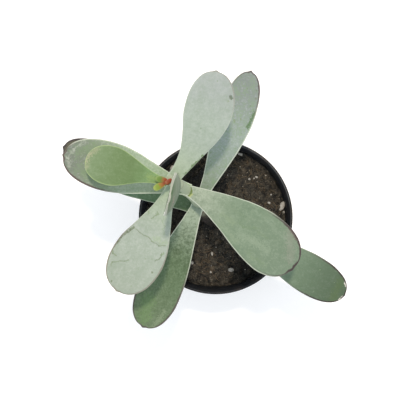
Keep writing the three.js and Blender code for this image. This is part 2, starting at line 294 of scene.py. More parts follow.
class Recipe(GroupTree):
    """A Geometry Nodes tree that makes the mesh of a piece."""

    def __init__(self, name: str, **values: Union[float, int, Triple]) -> None:
        """Makes the tree with a geometry and a material besides its own inputs.

        Args:
            name: The tree's name.
            values: What its own inputs are where a piece gives no other value.
        """
        self.values = values
        own = {titled(label): Socket.of(value) for label, value in values.items()}
        sockets = {"Geometry": Socket.GEOMETRY, **own, "Material": Socket.MATERIAL}
        super().__init__(name, "GeometryNodeTree", sockets, "Geometry", Socket.GEOMETRY)

    def place(self) -> Wire:
        """Where each point is."""
        return self.wire("GeometryNodeInputPosition")

    def kept(self, name: str) -> Wire:
        """The vector that each point keeps under a name."""
        return self.wire("GeometryNodeInputNamedAttribute", {"Name": name}, data_type="FLOAT_VECTOR")

    def store(self, geometry: Wire, name: str, kind: str, value: Wire) -> Wire:
        """Keeps a value on each point under a name."""
        inputs = {"Geometry": geometry, "Name": name, "Value": value}
        return self.wire("GeometryNodeStoreNamedAttribute", inputs, data_type=kind, domain="POINT")

    def random(self, low: Value, high: Value, seed: Value) -> Wire:
        """A random number for each point."""
        return self.wire("FunctionNodeRandomValue", {2: low, 3: high, 8: seed}, 1, data_type="FLOAT")

    def random_vector(self, low: Triple, high: Triple, seed: Value) -> Wire:
        """A random vector for each point."""
        return self.wire("FunctionNodeRandomValue", {0: low, 1: high, 8: seed}, 0, data_type="FLOAT_VECTOR")

    def set_places(self, geometry: Wire, place: Wire) -> Wire:
        """Puts each point at a place."""
        return self.wire("GeometryNodeSetPosition", {"Geometry": geometry, "Position": place})

    def pushed(self, geometry: Wire, push: Wire) -> Wire:
        """Pushes each point out along the surface's normal."""
        offset = self.scaled(self.wire("GeometryNodeInputNormal"), push)
        return self.wire("GeometryNodeSetPosition", {"Geometry": geometry, "Offset": offset})

    def roughened(self, geometry: Wire, depth: Value, scale: Value, shift: Value, detail: float = 2.0) -> Wire:
        """Pushes the points in and out by up to a depth. The shift makes pieces differ."""
        spot = self.vector("ADD", self.place(), self.joined(shift, 0.0, shift))
        return self.pushed(geometry, (self.noise(spot, scale, detail) - 0.5) * 2.0 * depth)

    def copies(
        self, points: Wire, form: Wire, euler: Optional[Wire] = None, scale: Optional[Wire] = None
    ) -> Wire:
        """Puts a real copy of a form on each point.

        Args:
            points: The points.
            form: What is copied.
            euler: How each copy is turned.
            scale: How large each copy is.

        Returns:
            The copies.
        """
        turn = self.wire("FunctionNodeEulerToRotation", {0: euler}) if euler else None
        inputs = {"Points": points, "Instance": form, "Rotation": turn, "Scale": scale}
        return self.wire("GeometryNodeRealizeInstances", {0: self.wire("GeometryNodeInstanceOnPoints", inputs)})

    def finish(self, geometry: Wire) -> None:
        """Ends the tree: realised, smooth and in its material.

        Args:
            geometry: What the tree has made.
        """
        real = self.wire("GeometryNodeRealizeInstances", {0: geometry})
        smooth = self.wire("GeometryNodeSetShadeSmooth", {0: real})
        self.result(self.wire("GeometryNodeSetMaterial", {0: smooth, "Material": self["Material"]}))

    def make(self, name: str, start: Mesh, **values: object) -> Object:
        """Runs the tree on a mesh and keeps what comes out as a plain mesh.

        Args:
            name: The new piece's name.
            start: The mesh that the tree starts from.
            values: Its material, and the values that are this piece's own.

        Returns:
            The piece, with no modifier left on it.
        """
        piece = linked(bpy.data.objects.new(name, start))
        modifier = piece.modifiers.new(self.tree.name, "NODES")
        modifier.node_group = self.tree
        sockets = {s.name: s.identifier for s in self.tree.interface.items_tree if s.in_out == "INPUT"}
        for label, value in {**self.values, **values}.items():
            modifier[sockets[titled(label)]] = value
        bpy.context.view_layer.update()
        evaluated = piece.evaluated_get(bpy.context.evaluated_depsgraph_get())
        mesh = bpy.data.meshes.new_from_object(evaluated)
        piece.modifiers.remove(modifier)
        piece.data = mesh
        mesh.name = name
        return piece


class EffectTree(GroupTree):
    """A shader node group that turns places and numbers into a mask or a height."""

    def __init__(
        self, name: str, *numbers: str, vectors: tuple[str, ...] = ("Place",), output: str = "Mask"
    ) -> None:
        """Makes the group with its vector and number inputs."""
        sockets = {**dict.fromkeys(vectors, Socket.VECTOR), **dict.fromkeys(numbers, Socket.FLOAT)}
        super().__init__(name, "ShaderNodeTree", sockets, output, Socket.FLOAT)


class Effects:
    """The surface effects that several materials share, each a node group that is built once."""

    @staticmethod
    @cache
    def mottling() -> NodeTree:
        """Soft patches of two sizes: 0 outside them and 1 inside.

        Returns:
            The node group.
        """
        tree = EffectTree("Mottling", "Patch Scale", "Coverage", "Softness")
        place, scale, soft = tree["Place"], tree["Patch Scale"], tree["Softness"]
        wide = tree.noise(place, scale, 3.0, 0.55)
        fine = tree.noise(place, scale * 3.7, 3.0, 0.6)
        level = 0.72 - tree["Coverage"] * 0.44
        return tree.result(tree.span(wide * 0.65 + fine * 0.35, level - soft, level + soft))

    @staticmethod
    @cache
    def specks() -> NodeTree:
        """Scattered dots, of which only a share show.

        Returns:
            The node group.
        """
        tree = EffectTree("Specks", "Cell Scale", "Dot Size", "Share")
        cells = tree.node("ShaderNodeTexVoronoi", {"Vector": tree["Place"], "Scale": tree["Cell Scale"]})
        red, green, _blue = tree.split(Wire(tree, cells.outputs["Color"]))
        size = tree["Dot Size"] * (0.45 + green * 0.55)
        dot = tree.fall(Wire(tree, cells.outputs["Distance"]), size * 0.55, size)
        return tree.result(dot * (red < tree["Share"]))

    @staticmethod
    @cache
    def stroke() -> NodeTree:
        """A rub, scratch or scar along a line from one place to another.

        Returns:
            The node group.
        """
        tree = EffectTree("Stroke", "Radius", "Raggedness", "Wander", vectors=("Place", "Start", "End"))
        start, radius = tree["Start"], tree["Radius"]
        across, along, _through = tree.split(tree["Place"])
        flat = tree.joined(across, along, 0.0)
        bend = tree.wire("ShaderNodeTexNoise", {"Vector": flat, "Scale": 0.35, "Detail": 1.0}, "Color")
        spot = tree.moved(flat, tree.vector("SUBTRACT", bend, (0.5, 0.5, 0.5)), tree["Wander"] * 4.0)
        line = tree.vector("SUBTRACT", tree["End"], start)
        reach = tree.vector("SUBTRACT", spot, start)
        length = tree.at_least(tree.vector("DOT_PRODUCT", line, line), 0.0001)
        share = tree.clamped(tree.vector("DOT_PRODUCT", reach, line) / length)
        right, ahead, _rest = tree.split(tree.vector("SUBTRACT", reach, tree.scaled(line, share)))
        distance = tree.vector("LENGTH", tree.joined(right, ahead, 0.0))
        ragged = (tree.noise(flat, 1.3, 3.0, 0.65) - 0.5) * tree["Raggedness"] * radius * 4.0
        return tree.result(tree.fall(distance + ragged, radius * 0.45, radius))

    @staticmethod
    @cache
    def edging() -> NodeTree:
        """A line of uneven width along an edge, from the distance to that edge.

        Returns:
            The node group.
        """
        tree = EffectTree("Edging", "Distance", "Width", "Raggedness")
        wobble = (tree.noise(tree["Place"], 420.0, 3.0, 0.6) - 0.5) * tree["Raggedness"]
        width = tree["Width"] * (wobble + 1.0)
        return tree.result(tree.fall(tree["Distance"], width * 0.6, width * 1.15))

    @staticmethod
    @cache
    def relief() -> NodeTree:
        """Fine unevenness for a Bump node: a grain with soft swellings under it.

        Returns:
            The node group.
        """
        tree = EffectTree("Relief", "Grain Scale", "Grain", "Swelling", output="Height")
        place, scale = tree["Place"], tree["Grain Scale"]
        grain = tree.noise(place, scale, 2.0, 0.6) * tree["Grain"]
        return tree.result(grain + tree.noise(place, scale * 0.12, 2.0, 0.5) * tree["Swelling"])

    @staticmethod
    @cache
    def dusting() -> NodeTree:
        """Fine soil that has settled on what faces up and has splashed below a height.

        Returns:
            The node group.
        """
        tree = EffectTree("Dusting", "Settled", "Splashed", vectors=("Place", "Normal"))
        place = tree["Place"]
        _x, _y, upward = tree.split(tree["Normal"])
        _across, _deep, height = tree.split(place)
        cloud = tree.span(tree.noise(place, 160.0, 5.0, 0.7), 0.42, 0.68)
        grit = tree.span(tree.noise(place, 1500.0, 3.0, 0.7), 0.45, 0.7)
        settled = tree.span(upward, 0.2, 0.95) * cloud * tree["Settled"]
        splashed = tree.span(height, 0.0, 45.0 * MM, 1.0, 0.15) * cloud * grit * tree["Splashed"]
        return tree.result(tree.clamped(settled + splashed))


class Finish(Graph):
    """A material that is being put together round one Principled shader."""

    def __init__(self, name: str, color: Triple, **settings: float) -> None:
        """Makes the material.

        Args:
            name: The material's name.
            color: The colour that the others are laid over.
            settings: The shader's values that are the same all over the surface.
        """
        self.material = bpy.data.materials.new(name)
        self.material.use_nodes = True
        super().__init__(self.material.node_tree)
        self.tree.nodes.clear()
        values = {titled(label).replace("Ior", "IOR"): value for label, value in settings.items()}
        self.shader = self.node("ShaderNodeBsdfPrincipled", values)
        output = self.node("ShaderNodeOutputMaterial")
        self.tree.links.new(self.shader.outputs[0], output.inputs["Surface"])
        self.place = self.wire("ShaderNodeTexCoord", output="Object")
        self.color: Paint = color

    def lay(self, share: Wire, color: Paint) -> None:
        """Lays a colour over the one that the surface has so far."""
        self.color = self.tint(share, self.color, color)

    def effect(self, group: NodeTree, **inputs: object) -> Wire:
        """Places one of the shared effects and gives its result."""
        values = {"Place": self.place, **{titled(name): value for name, value in inputs.items()}}
        return self.wire("ShaderNodeGroup", values, node_tree=group)

    def stretched(self, along: Triple) -> Wire:
        """The place on the object, with each direction scaled."""
        return self.vector("MULTIPLY", self.place, along)

    def attribute(self, name: str, output: str = "Fac") -> Wire:
        """What the mesh keeps on its points under a name: Fac is a number and Vector a vector."""
        return self.wire("ShaderNodeAttribute", output=output, attribute_name=name)

    def normal(self) -> Wire:
        """Which way the surface faces."""
        return self.wire("ShaderNodeNewGeometry", output="Normal")

    def paint(self, roughness: Wire, height: Wire, depth: float) -> Material:
        """Joins the colour and the other results to the shader.

        Args:
            roughness: The roughness.
            height: The height of the relief, from 0 to about 1.
            depth: How deep a height of 1 is.

        Returns:
            The finished material.
        """
        bump = self.wire("ShaderNodeBump", {"Height": height, "Distance": depth * MM})
        for label, value in {"Base Color": self.color, "Roughness": roughness, "Normal": bump}.items():
            self.tree.links.new(value.socket, self.shader.inputs[label])
        return self.material


class Face(Enum):
    """The side of a leaf that a mark is on."""

    UPPER = "upper"
    LOWER = "lower"
    BOTH = "both"


@dataclass(frozen=True)
class Mark:
    """A rub, scratch, bruise or scar on a leaf.

    Attributes:
        start: Where it starts, along and across the leaf, in millimetres.
        end: Where it ends.
        radius: Half its width.
        color: Its colour.
        strength: How much of the colour shows.
        ragged: How uneven its edge is.
        wander: How far it strays from the straight line.
        groove: How deep it is in the relief.
        face: The side of the leaf that it is on.
    """

    start: Pair
    end: Pair
    radius: float
    color: Triple
    strength: float
    ragged: float
    wander: float = 0.0
    groove: float = 0.0
    face: Face = Face.UPPER

    @classmethod
    def trail(cls, stops: Sequence[Pair], *looks: object) -> tuple["Mark", ...]:
        """Marks that join a row of places. Their looks are what follows the end in a mark."""
        return tuple(cls(start, end, *looks) for start, end in zip(stops, stops[1:]))

    def mask(self, finish: Finish, blade: Wire, lower: Wire) -> Wire:
        """Where the mark shows.

        Args:
            finish: The finish that it belongs to.
            blade: The place along, across and through the leaf.
            lower: One on the leaf's lower side.

        Returns:
            Its mask, kept to its side of the leaf.
        """
        mask = finish.effect(
            Effects.stroke(),
            place=blade,
            start=(*self.start, 0.0),
            end=(*self.end, 0.0),
            radius=self.radius,
            raggedness=self.ragged,
            wander=self.wander,
        )
        if self.face is Face.UPPER:
            return mask * (1.0 - lower)
        return mask * lower if self.face is Face.LOWER else mask


@dataclass(frozen=True)
class LeafFinish:
    """Green flesh under a powdery bloom, with a painted highlight along the rim and a dark margin towards the end.

    Attributes:
        foot: The colour of the bloom at the leaf's foot.
        middle: The colour of the bloom halfway.
        end: The colour of the bloom at its end.
        flesh: The colour where the bloom is thin.
        bloom: How much paler the leaf is where the bloom is thick.
        mottle: How uneven the bloom is.
        grain: How much of that is fine grain.
        thin: How much of the leaf has thin bloom.
        patch_scale: The noise scale of the patches of thin bloom.
        patch_strength: How much of the flesh shows in them.
        thin_from: The share of the length from which the bloom is thin.
        thin_to: The share of the length up to which it is thin.
        rim: The colour of the thin pale line inside the margin.
        highlight_width: Its width.
        highlight_strength: How much of it shows.
        margin: The colour of the margin.
        margin_width: Its width.
        margin_from: The share of the length from which the margin is dark.
        margin_strength: How dark it is.
        margin_side: The side where it is dark: 1 for the left, -1 for the right and 0 for both.
        specks: The share of the specks that show.
        speck_color: The colour of the specks.
        marks: Its rubs and scars.
    """

    foot: Triple
    middle: Triple
    end: Triple
    flesh: Triple = (120, 146, 112)
    bloom: float = 0.34
    mottle: float = 1.0
    grain: float = 1.0
    thin: float = 0.4
    patch_scale: float = 290.0
    patch_strength: float = 0.42
    thin_from: float = 0.0
    thin_to: float = 1.0
    # rim: The colour of the painted highlight: a thin pale line just inside the margin, where the rounded edge catches
    # the light. highlight_width: Its width. highlight_strength: How much of it shows.
    rim: Triple = (206, 214, 198)
    highlight_width: float = 0.55
    highlight_strength: float = 0.55
    margin: Triple = (96, 76, 76)
    margin_width: float = 0.7
    margin_from: float = 0.6
    margin_strength: float = 0.7
    margin_side: float = 0.0
    specks: float = 0.06
    speck_color: Triple = (118, 140, 108)
    marks: tuple[Mark, ...] = ()

    THICKEST_BLOOM = (228, 234, 230)
    FADE = 0.12
    RELIEF_DEPTH = 0.22

    def powdered(self) -> Triple:
        """The colour where the bloom is thickest: the leaf's middle colour, much paler."""
        red, green, blue = ((own + pale) / 2 for own, pale in zip(self.middle, self.THICKEST_BLOOM))
        return (red, green, blue)

    def _unevenness(self, finish: Finish, blade: Wire, powder: Wire) -> Wire:
        """How thin the bloom is: streaks along the leaf, grain, powder and wide clouds.

        Args:
            finish: The leaf's finish.
            blade: The place along, across and through the leaf.
            powder: The finest noise.

        Returns:
            The unevenness, about 0 on the average.
        """
        streaks = finish.noise(finish.vector("MULTIPLY", blade, (0.08, 1.1, 0.0)), 1.0, 3.0, 0.6)
        clouds = finish.noise(finish.vector("MULTIPLY", blade, (0.2, 0.3, 0.0)), 1.0, 3.0, 0.6)
        grain = finish.noise(finish.place, 850.0, 3.0, 0.65)
        uneven = (streaks - 0.5) * 0.2 + (grain - 0.5) * self.grain
        return (uneven + (powder - 0.5) * 0.5 + (clouds - 0.5) * 0.7) * self.mottle

    def material(self, name: str) -> Material:
        """Builds the leaf's material.

        Args:
            name: The material's name.

        Returns:
            The material.
        """
        finish = Finish(name, self.foot, sheen_weight=0.12, sheen_roughness=0.55, specular_ior_level=0.35)
        blade = finish.attribute("blade", "Vector")
        share, edge = finish.attribute("share"), finish.attribute("edge")
        _along, across, through = finish.split(blade)
        finish.lay(finish.span(share, 0.02, 0.5), self.middle)
        finish.lay(finish.span(share, 0.5, 0.98), self.end)
        patches = finish.effect(Effects.mottling(), patch_scale=self.patch_scale, coverage=self.thin, softness=0.2)
        reach = finish.span(share, self.thin_from - self.FADE, self.thin_from + self.FADE)
        reach = reach * finish.fall(share, self.thin_to - self.FADE, self.thin_to + self.FADE)
        powder = finish.noise(finish.place, 2600.0, 3.0, 0.7)
        uneven = self._unevenness(finish, blade, powder)
        finish.lay(finish.clamped(patches * reach * self.patch_strength + uneven), self.flesh)
        finish.lay(finish.clamped(uneven * -1.6) * self.bloom, self.powdered())
        specks = finish.effect(Effects.specks(), cell_scale=620.0, dot_size=0.34, share=self.specks)
        finish.lay(specks * 0.55, self.speck_color)
        lower = finish.fall(through, -0.15, 0.15)
        finish.lay(lower * 0.35, self.flesh)
        rubbed, grooves = specks * 0.3, specks * 0.4
        for mark in self.marks:
            mask = mark.mask(finish, blade, lower)
            finish.lay(mask * mark.strength, mark.color)
            rubbed, grooves = rubbed + mask * 0.5, grooves + mask * mark.groove
        # Painted highlight: a thin pale line along the rounded margin, where it catches the light.
        rim = finish.effect(Effects.edging(), distance=edge, width=self.highlight_width, raggedness=0.5)
        finish.lay(rim * self.highlight_strength, self.rim)
        margin = finish.effect(Effects.edging(), distance=edge, width=self.margin_width, raggedness=1.1)
        dark = margin * finish.span(share, self.margin_from - self.FADE, self.margin_from + 0.14)
        dark = dark * finish.span(across * self.margin_side, -9.0, 0.0)
        finish.lay(dark * self.margin_strength, self.margin)
        roughness = 0.66 - finish.clamped(rubbed) * 0.16 + (powder - 0.5) * 0.12 - dark * 0.1
        relief = finish.effect(Effects.relief(), grain_scale=1800.0, grain=0.25, swelling=0.9)
        return finish.paint(roughness, relief - grooves, self.RELIEF_DEPTH)


@dataclass(frozen=True)
class TipFinish:
    """The flesh of the bud: red at its base and a bright yellow-green further out.

    Attributes:
        base: The colour at the base.
        blush: The colour between the base and the green.
        end: The colour of the leaf's end.
        rim: The colour of its edge.
        blush_from: The share of the length where the red ends.
        blush_to: The share of the length where the green is full.
    """

    base: Triple
    blush: Triple
    end: Triple
    rim: Triple
    blush_from: float
    blush_to: float

    def material(self, name: str) -> Material:
        """Builds the bud's material.

        Args:
            name: The material's name.

        Returns:
            The material.
        """
        finish = Finish(name, self.base, specular_ior_level=0.45)
        share, edge = finish.attribute("share"), finish.attribute("edge")
        spot = share + (finish.noise(finish.place, 900.0, 3.0, 0.6) - 0.5) * 0.35
        middle = (self.blush_from + self.blush_to) / 2
        finish.lay(finish.span(spot, self.blush_from, middle), self.blush)
        finish.lay(finish.span(spot, middle, self.blush_to), self.end)
        rim = finish.effect(Effects.edging(), distance=edge, width=0.5, raggedness=0.4)
        finish.lay(rim * 0.5, self.rim)
        relief = finish.effect(Effects.relief(), grain_scale=3000.0, grain=0.3, swelling=0.5)
        return finish.paint(0.42 + finish.noise(finish.place, 2000.0) * 0.1, relief, 0.1)


@dataclass(frozen=True)
class StemFinish:
    """Bark below and bloomed green skin above, with a ring of old scar tissue at each node.

    Attributes:
        bark: The colour of the bark.
        crack: The colour between its ridges.
        skin: The colour of the young stem.
        powder: The colour of the bloom on it.
        scar: The colour of the rings at the nodes.
        dust: The colour of the soil that has settled on it.
        bark_top: The height where the bark ends, above the floor.
        skin_foot: The height where the skin is clean, above the floor.
        dirt_and_shade: The colour of the painted shade on its foot.
        shade_top: The height up to which the painted shade reaches.
        shade_fade: The length over which it ends.
    """

    bark: Triple = (108, 92, 74)
    crack: Triple = (62, 51, 40)
    skin: Triple = (150, 162, 138)
    powder: Triple = (190, 202, 186)
    scar: Triple = (120, 104, 78)
    dust: Triple = (78, 60, 44)
    bark_top: float = 89.0
    skin_foot: float = 108.0
    dirt_and_shade: Triple = (30, 29, 27)
    shade_top: float = 92.0
    shade_fade: float = 8.0

    def material(self, name: str, rings: Sequence[float]) -> Material:
        """Builds the stem's material.

        Args:
            name: The material's name.
            rings: The heights of the nodes, above the floor.

        Returns:
            The material.
        """
        finish = Finish(name, self.crack, specular_ior_level=0.3)
        _x, _y, height = finish.split(finish.place)
        ridges = finish.noise(finish.stretched((1.0, 1.0, 0.18)), 1500.0, 4.0, 0.65)
        finish.lay(finish.span(ridges, 0.38, 0.62), self.bark)
        blotch = (finish.noise(finish.place, 180.0, 4.0, 0.6) - 0.5) * (30.0 * MM)
        age = finish.span(height + blotch, self.bark_top * MM, self.skin_foot * MM)
        powder = finish.noise(finish.place, 2400.0, 3.0, 0.7)
        finish.lay(age, finish.tint((powder - 0.3) * 0.5, self.skin, self.powder))
        ringed: Value = 0.0
        for ring in rings:
            ringed = finish.fall(abs(height - ring * MM), 0.2 * MM, 1.2 * MM) + ringed
        finish.lay(finish.clamped(ringed) * 0.4, self.scar)
        dust = finish.effect(Effects.dusting(), normal=finish.normal(), settled=0.5, splashed=0.4)
        finish.lay(dust * 0.5, self.dust)
        # Painted shade: the foot of the stem is darkened near the soil, where it stands in the shade under the lowest
        # leaves.
        clean = (self.shade_top + self.shade_fade) * MM
        shaded_foot = finish.fall(height + blotch * 0.3, self.shade_top * MM, clean)
        finish.lay(shaded_foot * 0.9, self.dirt_and_shade)
        relief = finish.effect(Effects.relief(), grain_scale=1700.0, grain=0.5, swelling=0.4)
        roughness = 0.86 - age * 0.18 + (powder - 0.5) * 0.1
        return finish.paint(roughness, relief + ridges * (1.0 - age), 0.4)


@dataclass(frozen=True)
class PotFinish:
    """Thin black moulded plastic, dusted with soil and scuffed along the rim, with a painted highlight on the ridge of
    the lip.

    Attributes:
        plastic: The colour of the plastic.
        cloud: The colour of its greyer clouds.
        scuff_and_highlight_color: The colour where it is scuffed, also used for the painted highlight on the rim's
            ridge.
        dust: The colour of the soil on it.
        rim_height: The height from which the rim is scuffed and carries the painted highlight.
        highlight_radius: The radius of the ridge that carries the painted highlight.
    """

    plastic: Triple = (24, 27, 31)
    cloud: Triple = (30, 32, 35)
    scuff_and_highlight_color: Triple = (98, 102, 106)
    dust: Triple = (104, 84, 62)
    rim_height: float = 75.2
    highlight_radius: float = 43.95

    def material(self, name: str) -> Material:
        """Builds the pot's material.

        Args:
            name: The material's name.

        Returns:
            The material.
        """
        finish = Finish(name, self.plastic, specular_ior_level=0.12)
        across, deep, height = finish.split(finish.place)
        cloud = finish.noise(finish.place, 60.0, 4.0, 0.6)
        finish.lay(cloud * 0.35, self.cloud)
        scratches = finish.noise(finish.stretched((0.25, 0.25, 3.0)), 900.0, 3.0, 0.7)
        scuff_and_highlight = finish.span(height, (self.rim_height - 0.4) * MM, (self.rim_height + 0.5) * MM)
        # Painted highlight: the thin ridge on the lip is lightened in patches, more on the side towards the key light.
        off_ridge = abs(finish.radius(across, deep) - self.highlight_radius * MM)
        ridge = finish.fall(off_ridge, 0.18 * MM, 0.4 * MM)
        ridge_highlight = finish.span(finish.noise(finish.place, 120.0, 3.0, 0.6), 0.3, 0.6, 0.35, 1.0)
        ridge_highlight = ridge_highlight * finish.span(deep, -40.0 * MM, 15.0 * MM, 0.12, 0.55)
        scuff_and_highlight = scuff_and_highlight * (ridge * ridge_highlight + finish.span(scratches, 0.5, 0.7) * 0.12)
        scuff_and_highlight = scuff_and_highlight + finish.span(scratches, 0.66, 0.74) * 0.3
        finish.lay(finish.clamped(scuff_and_highlight) * 0.75, self.scuff_and_highlight_color)
        dust = finish.effect(Effects.dusting(), normal=finish.normal(), settled=0.15, splashed=0.35)
        finish.lay(dust * 0.6, self.dust)
        relief = finish.effect(Effects.relief(), grain_scale=2600.0, grain=0.35, swelling=0.25)
        roughness = 0.34 + cloud * 0.12 + finish.clamped(scuff_and_highlight) * 0.12 + dust * 0.35
        return finish.paint(roughness, relief + scratches * 0.15, 0.08)


@dataclass(frozen=True)
class SoilFinish:
    """Moist peaty potting mix: dark fines with browner lumps and fibres in them.

    Attributes:
        dark: The colour of the fines.
        brown: The colour of the lumps.
        pale: The colour of the driest bits.
        patch: How much of the brown shows.
        crevice_shade: The colour of the painted shade between the grit.
        roughness: How matt it is.
        painted_shade: The colour of the painted shade on the soil under the leaves.
        shade_places: The middle of each patch of painted shade, across and deep, and how far it reaches.
        shade_strength: How dark the painted shade is.
    """

    dark: Triple = (27, 29, 30)
    brown: Triple = (72, 68, 60)
    pale: Triple = (152, 144, 130)
    patch: float = 0.5
    crevice_shade: Triple = (15, 14, 13)
    roughness: float = 0.92
    painted_shade: Triple = (22, 25, 26)
    shade_places: tuple[Triple, ...] = ((-17.0, 12.0, 24.0), (24.0, -33.0, 15.0))
    shade_strength: float = 0.65

    def material(self, name: str) -> Material:
        """Builds the soil's material.

        Args:
            name: The material's name.

        Returns:
            The material.
        """
        finish = Finish(name, self.dark, specular_ior_level=0.2)
        clods = finish.effect(Effects.mottling(), patch_scale=330.0, coverage=self.patch, softness=0.12)
        finish.lay(clods, self.brown)
        bits = finish.effect(Effects.specks(), cell_scale=900.0, dot_size=0.5, share=0.16)
        grit = finish.noise(finish.place, 2200.0, 4.0, 0.75)
        finish.lay(bits * 0.6, self.pale)
        finish.lay(finish.span(grit, 0.5, 0.72) * 0.35, self.pale)
        # Painted shade: darkens the low spots between the grit.
        finish.lay(finish.span(grit, 0.46, 0.3) * 0.6, self.crevice_shade)
        flat = finish.stretched((1.0, 1.0, 0.0))
        # Painted shade: the soil is darkened in patches under the leaves.
        for across, deep, reach in self.shade_places:
            away = finish.vector("DISTANCE", flat, metres((across, deep, 0.0))) / (reach * MM)
            shade_mask = finish.fall(away + (clods - 0.5) * 0.3, 0.65, 1.25)
            finish.lay(shade_mask * self.shade_strength, self.painted_shade)
        relief = finish.effect(Effects.relief(), grain_scale=2200.0, grain=0.9, swelling=0.6)
        return finish.paint(self.roughness + (grit - 0.5) * 0.1, relief + bits * 0.5, 0.7)


@dataclass(frozen=True)
class PerliteFinish:
    """Puffed white perlite with dirty pits.

    Attributes:
        white: The colour of the grain.
        dirt: The colour in its pits.
    """

    white: Triple = (170, 168, 162)
    dirt: Triple = (96, 90, 80)

    def material(self, name: str) -> Material:
        """Builds the perlite's material.

        Args:
            name: The material's name.

        Returns:
            The material.
        """
        finish = Finish(name, self.white, specular_ior_level=0.3)
        pits = finish.effect(Effects.specks(), cell_scale=1500.0, dot_size=0.5, share=0.4)
        dirt_and_shade = finish.span(finish.noise(finish.place, 700.0, 4.0, 0.65), 0.48, 0.7)
        finish.lay(finish.clamped(dirt_and_shade * 0.6 + pits * 0.5), self.dirt)
        relief = finish.effect(Effects.relief(), grain_scale=2400.0, grain=0.7, swelling=0.5)
        return finish.paint(0.8 + dirt_and_shade * 0.1, relief - pits, 0.4)


@dataclass(frozen=True)
class FloorFinish:
    """A plain pale studio floor that glows a little: painted light that lightens the shadows on it.

    Attributes:
        color: Its colour.
        cloud: The colour of its faint clouds.
        painted_glow: How much painted light it gives off.
    """

    color: Triple = (250, 250, 250)
    cloud: Triple = (246, 247, 248)
    painted_glow: float = 0.16

    def material(self, name: str) -> Material:
        """Builds the floor's material.

        Args:
            name: The material's name.

        Returns:
            The material.
        """
        finish = Finish(
            name,
            self.color,
            specular_ior_level=0.2,
            emission_color=(1.0, 1.0, 1.0, 1.0),
            emission_strength=self.painted_glow,
        )
        cloud = finish.noise(finish.place, 3.0, 2.0)
        finish.lay(cloud * 0.3, self.cloud)
        return finish.paint(0.7 + cloud * 0.1, cloud, 0.1)


@dataclass(frozen=True)
class Piece:
    """Puts a finished piece on the object.

    Attributes:
        body: The body that the piece rides on.
    """

    body: str = WHOLE_BODY

    def mount(self, piece: Object, slot: str, *nodes: str) -> None:
        """Lets a piece ride on the body.

        Args:
            piece: The piece, with its place in its mesh.
            slot: Not used.
            nodes: The solids that it stands for.
        """
        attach(piece, self.body)
        if nodes:
            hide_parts(*nodes)
        LOG.info("%s: %d points, %d faces", piece.name, len(piece.data.vertices), len(piece.data.polygons))


@dataclass(frozen=True)
class StemLine:
    """The middle line of the leaning stem.

    Attributes:
        foot: Where it leaves the soil.
        route: The points that it passes, from the foot.
        foot_radius: Its radius in the soil.
        tip_radius: Its radius at the top.
        top: Its height.
        nodes: The heights where pairs of leaves leave it.
        swelling: How much thicker it is at a node.
        node_length: How far the swelling reaches.
    """

    foot: Triple = (-2.5, -1.5, 68.0)
    route: tuple[Triple, ...] = (
        (1.5, -1.5, -28.0), (0.0, 0.0, 0.0), (-3.0, 3.0, 21.0), (-6.9, 9.7, 35.0),
        (-13.2, 16.1, 50.0), (-17.6, 19.4, 64.0), (-20.8, 20.6, 76.0), (-21.3, 20.6, 78.0),
    )
    foot_radius: float = 3.5
    tip_radius: float = 2.3
    top: float = 78.0
    nodes: tuple[float, ...] = (5.0, 12.0, 21.0, 35.0, 50.0, 64.0, 76.0)
    swelling: float = 0.45
    node_length: float = 2.2

    def points(self, steps: int = 16) -> np.ndarray:
        """The smooth line through the route, as rows of x, y and z from the foot.

        Args:
            steps: How many points each stretch gets.

        Returns:
            The points, with rising heights.
        """
        stops = [np.array(stop) for stop in self.route]
        stops = [2 * stops[0] - stops[1], *stops, 2 * stops[-1] - stops[-2]]
        rows: list[np.ndarray] = []
        for before, start, end, after in zip(stops, stops[1:], stops[2:], stops[3:]):
            spans = [np.sqrt(np.linalg.norm(b - a)) for a, b in ((before, start), (start, end), (end, after))]
            leave = (start - before) / spans[0] - (end - before) / (spans[0] + spans[1]) + (end - start) / spans[1]
            arrive = (end - start) / spans[1] - (after - start) / (spans[1] + spans[2]) + (after - end) / spans[2]
            leave, arrive = leave * spans[1], arrive * spans[1]
            for step in range(steps):
                t = step / steps
                rows.append(
                    start
                    + leave * t
                    + (3 * (end - start) - 2 * leave - arrive) * t**2
                    + (2 * (start - end) + leave + arrive) * t**3
                )
        rows.append(stops[-2])
        return np.array(rows)

    def at(self, height: float) -> Vector:
        """The point of the line at a height, from the foot.

        Args:
            height: The height.

        Returns:
            The point.
        """
        rows = self.points()
        across, deep = (float(np.interp(height, rows[:, 2], rows[:, axis])) for axis in (0, 1))
        return Vector((across, deep, height))


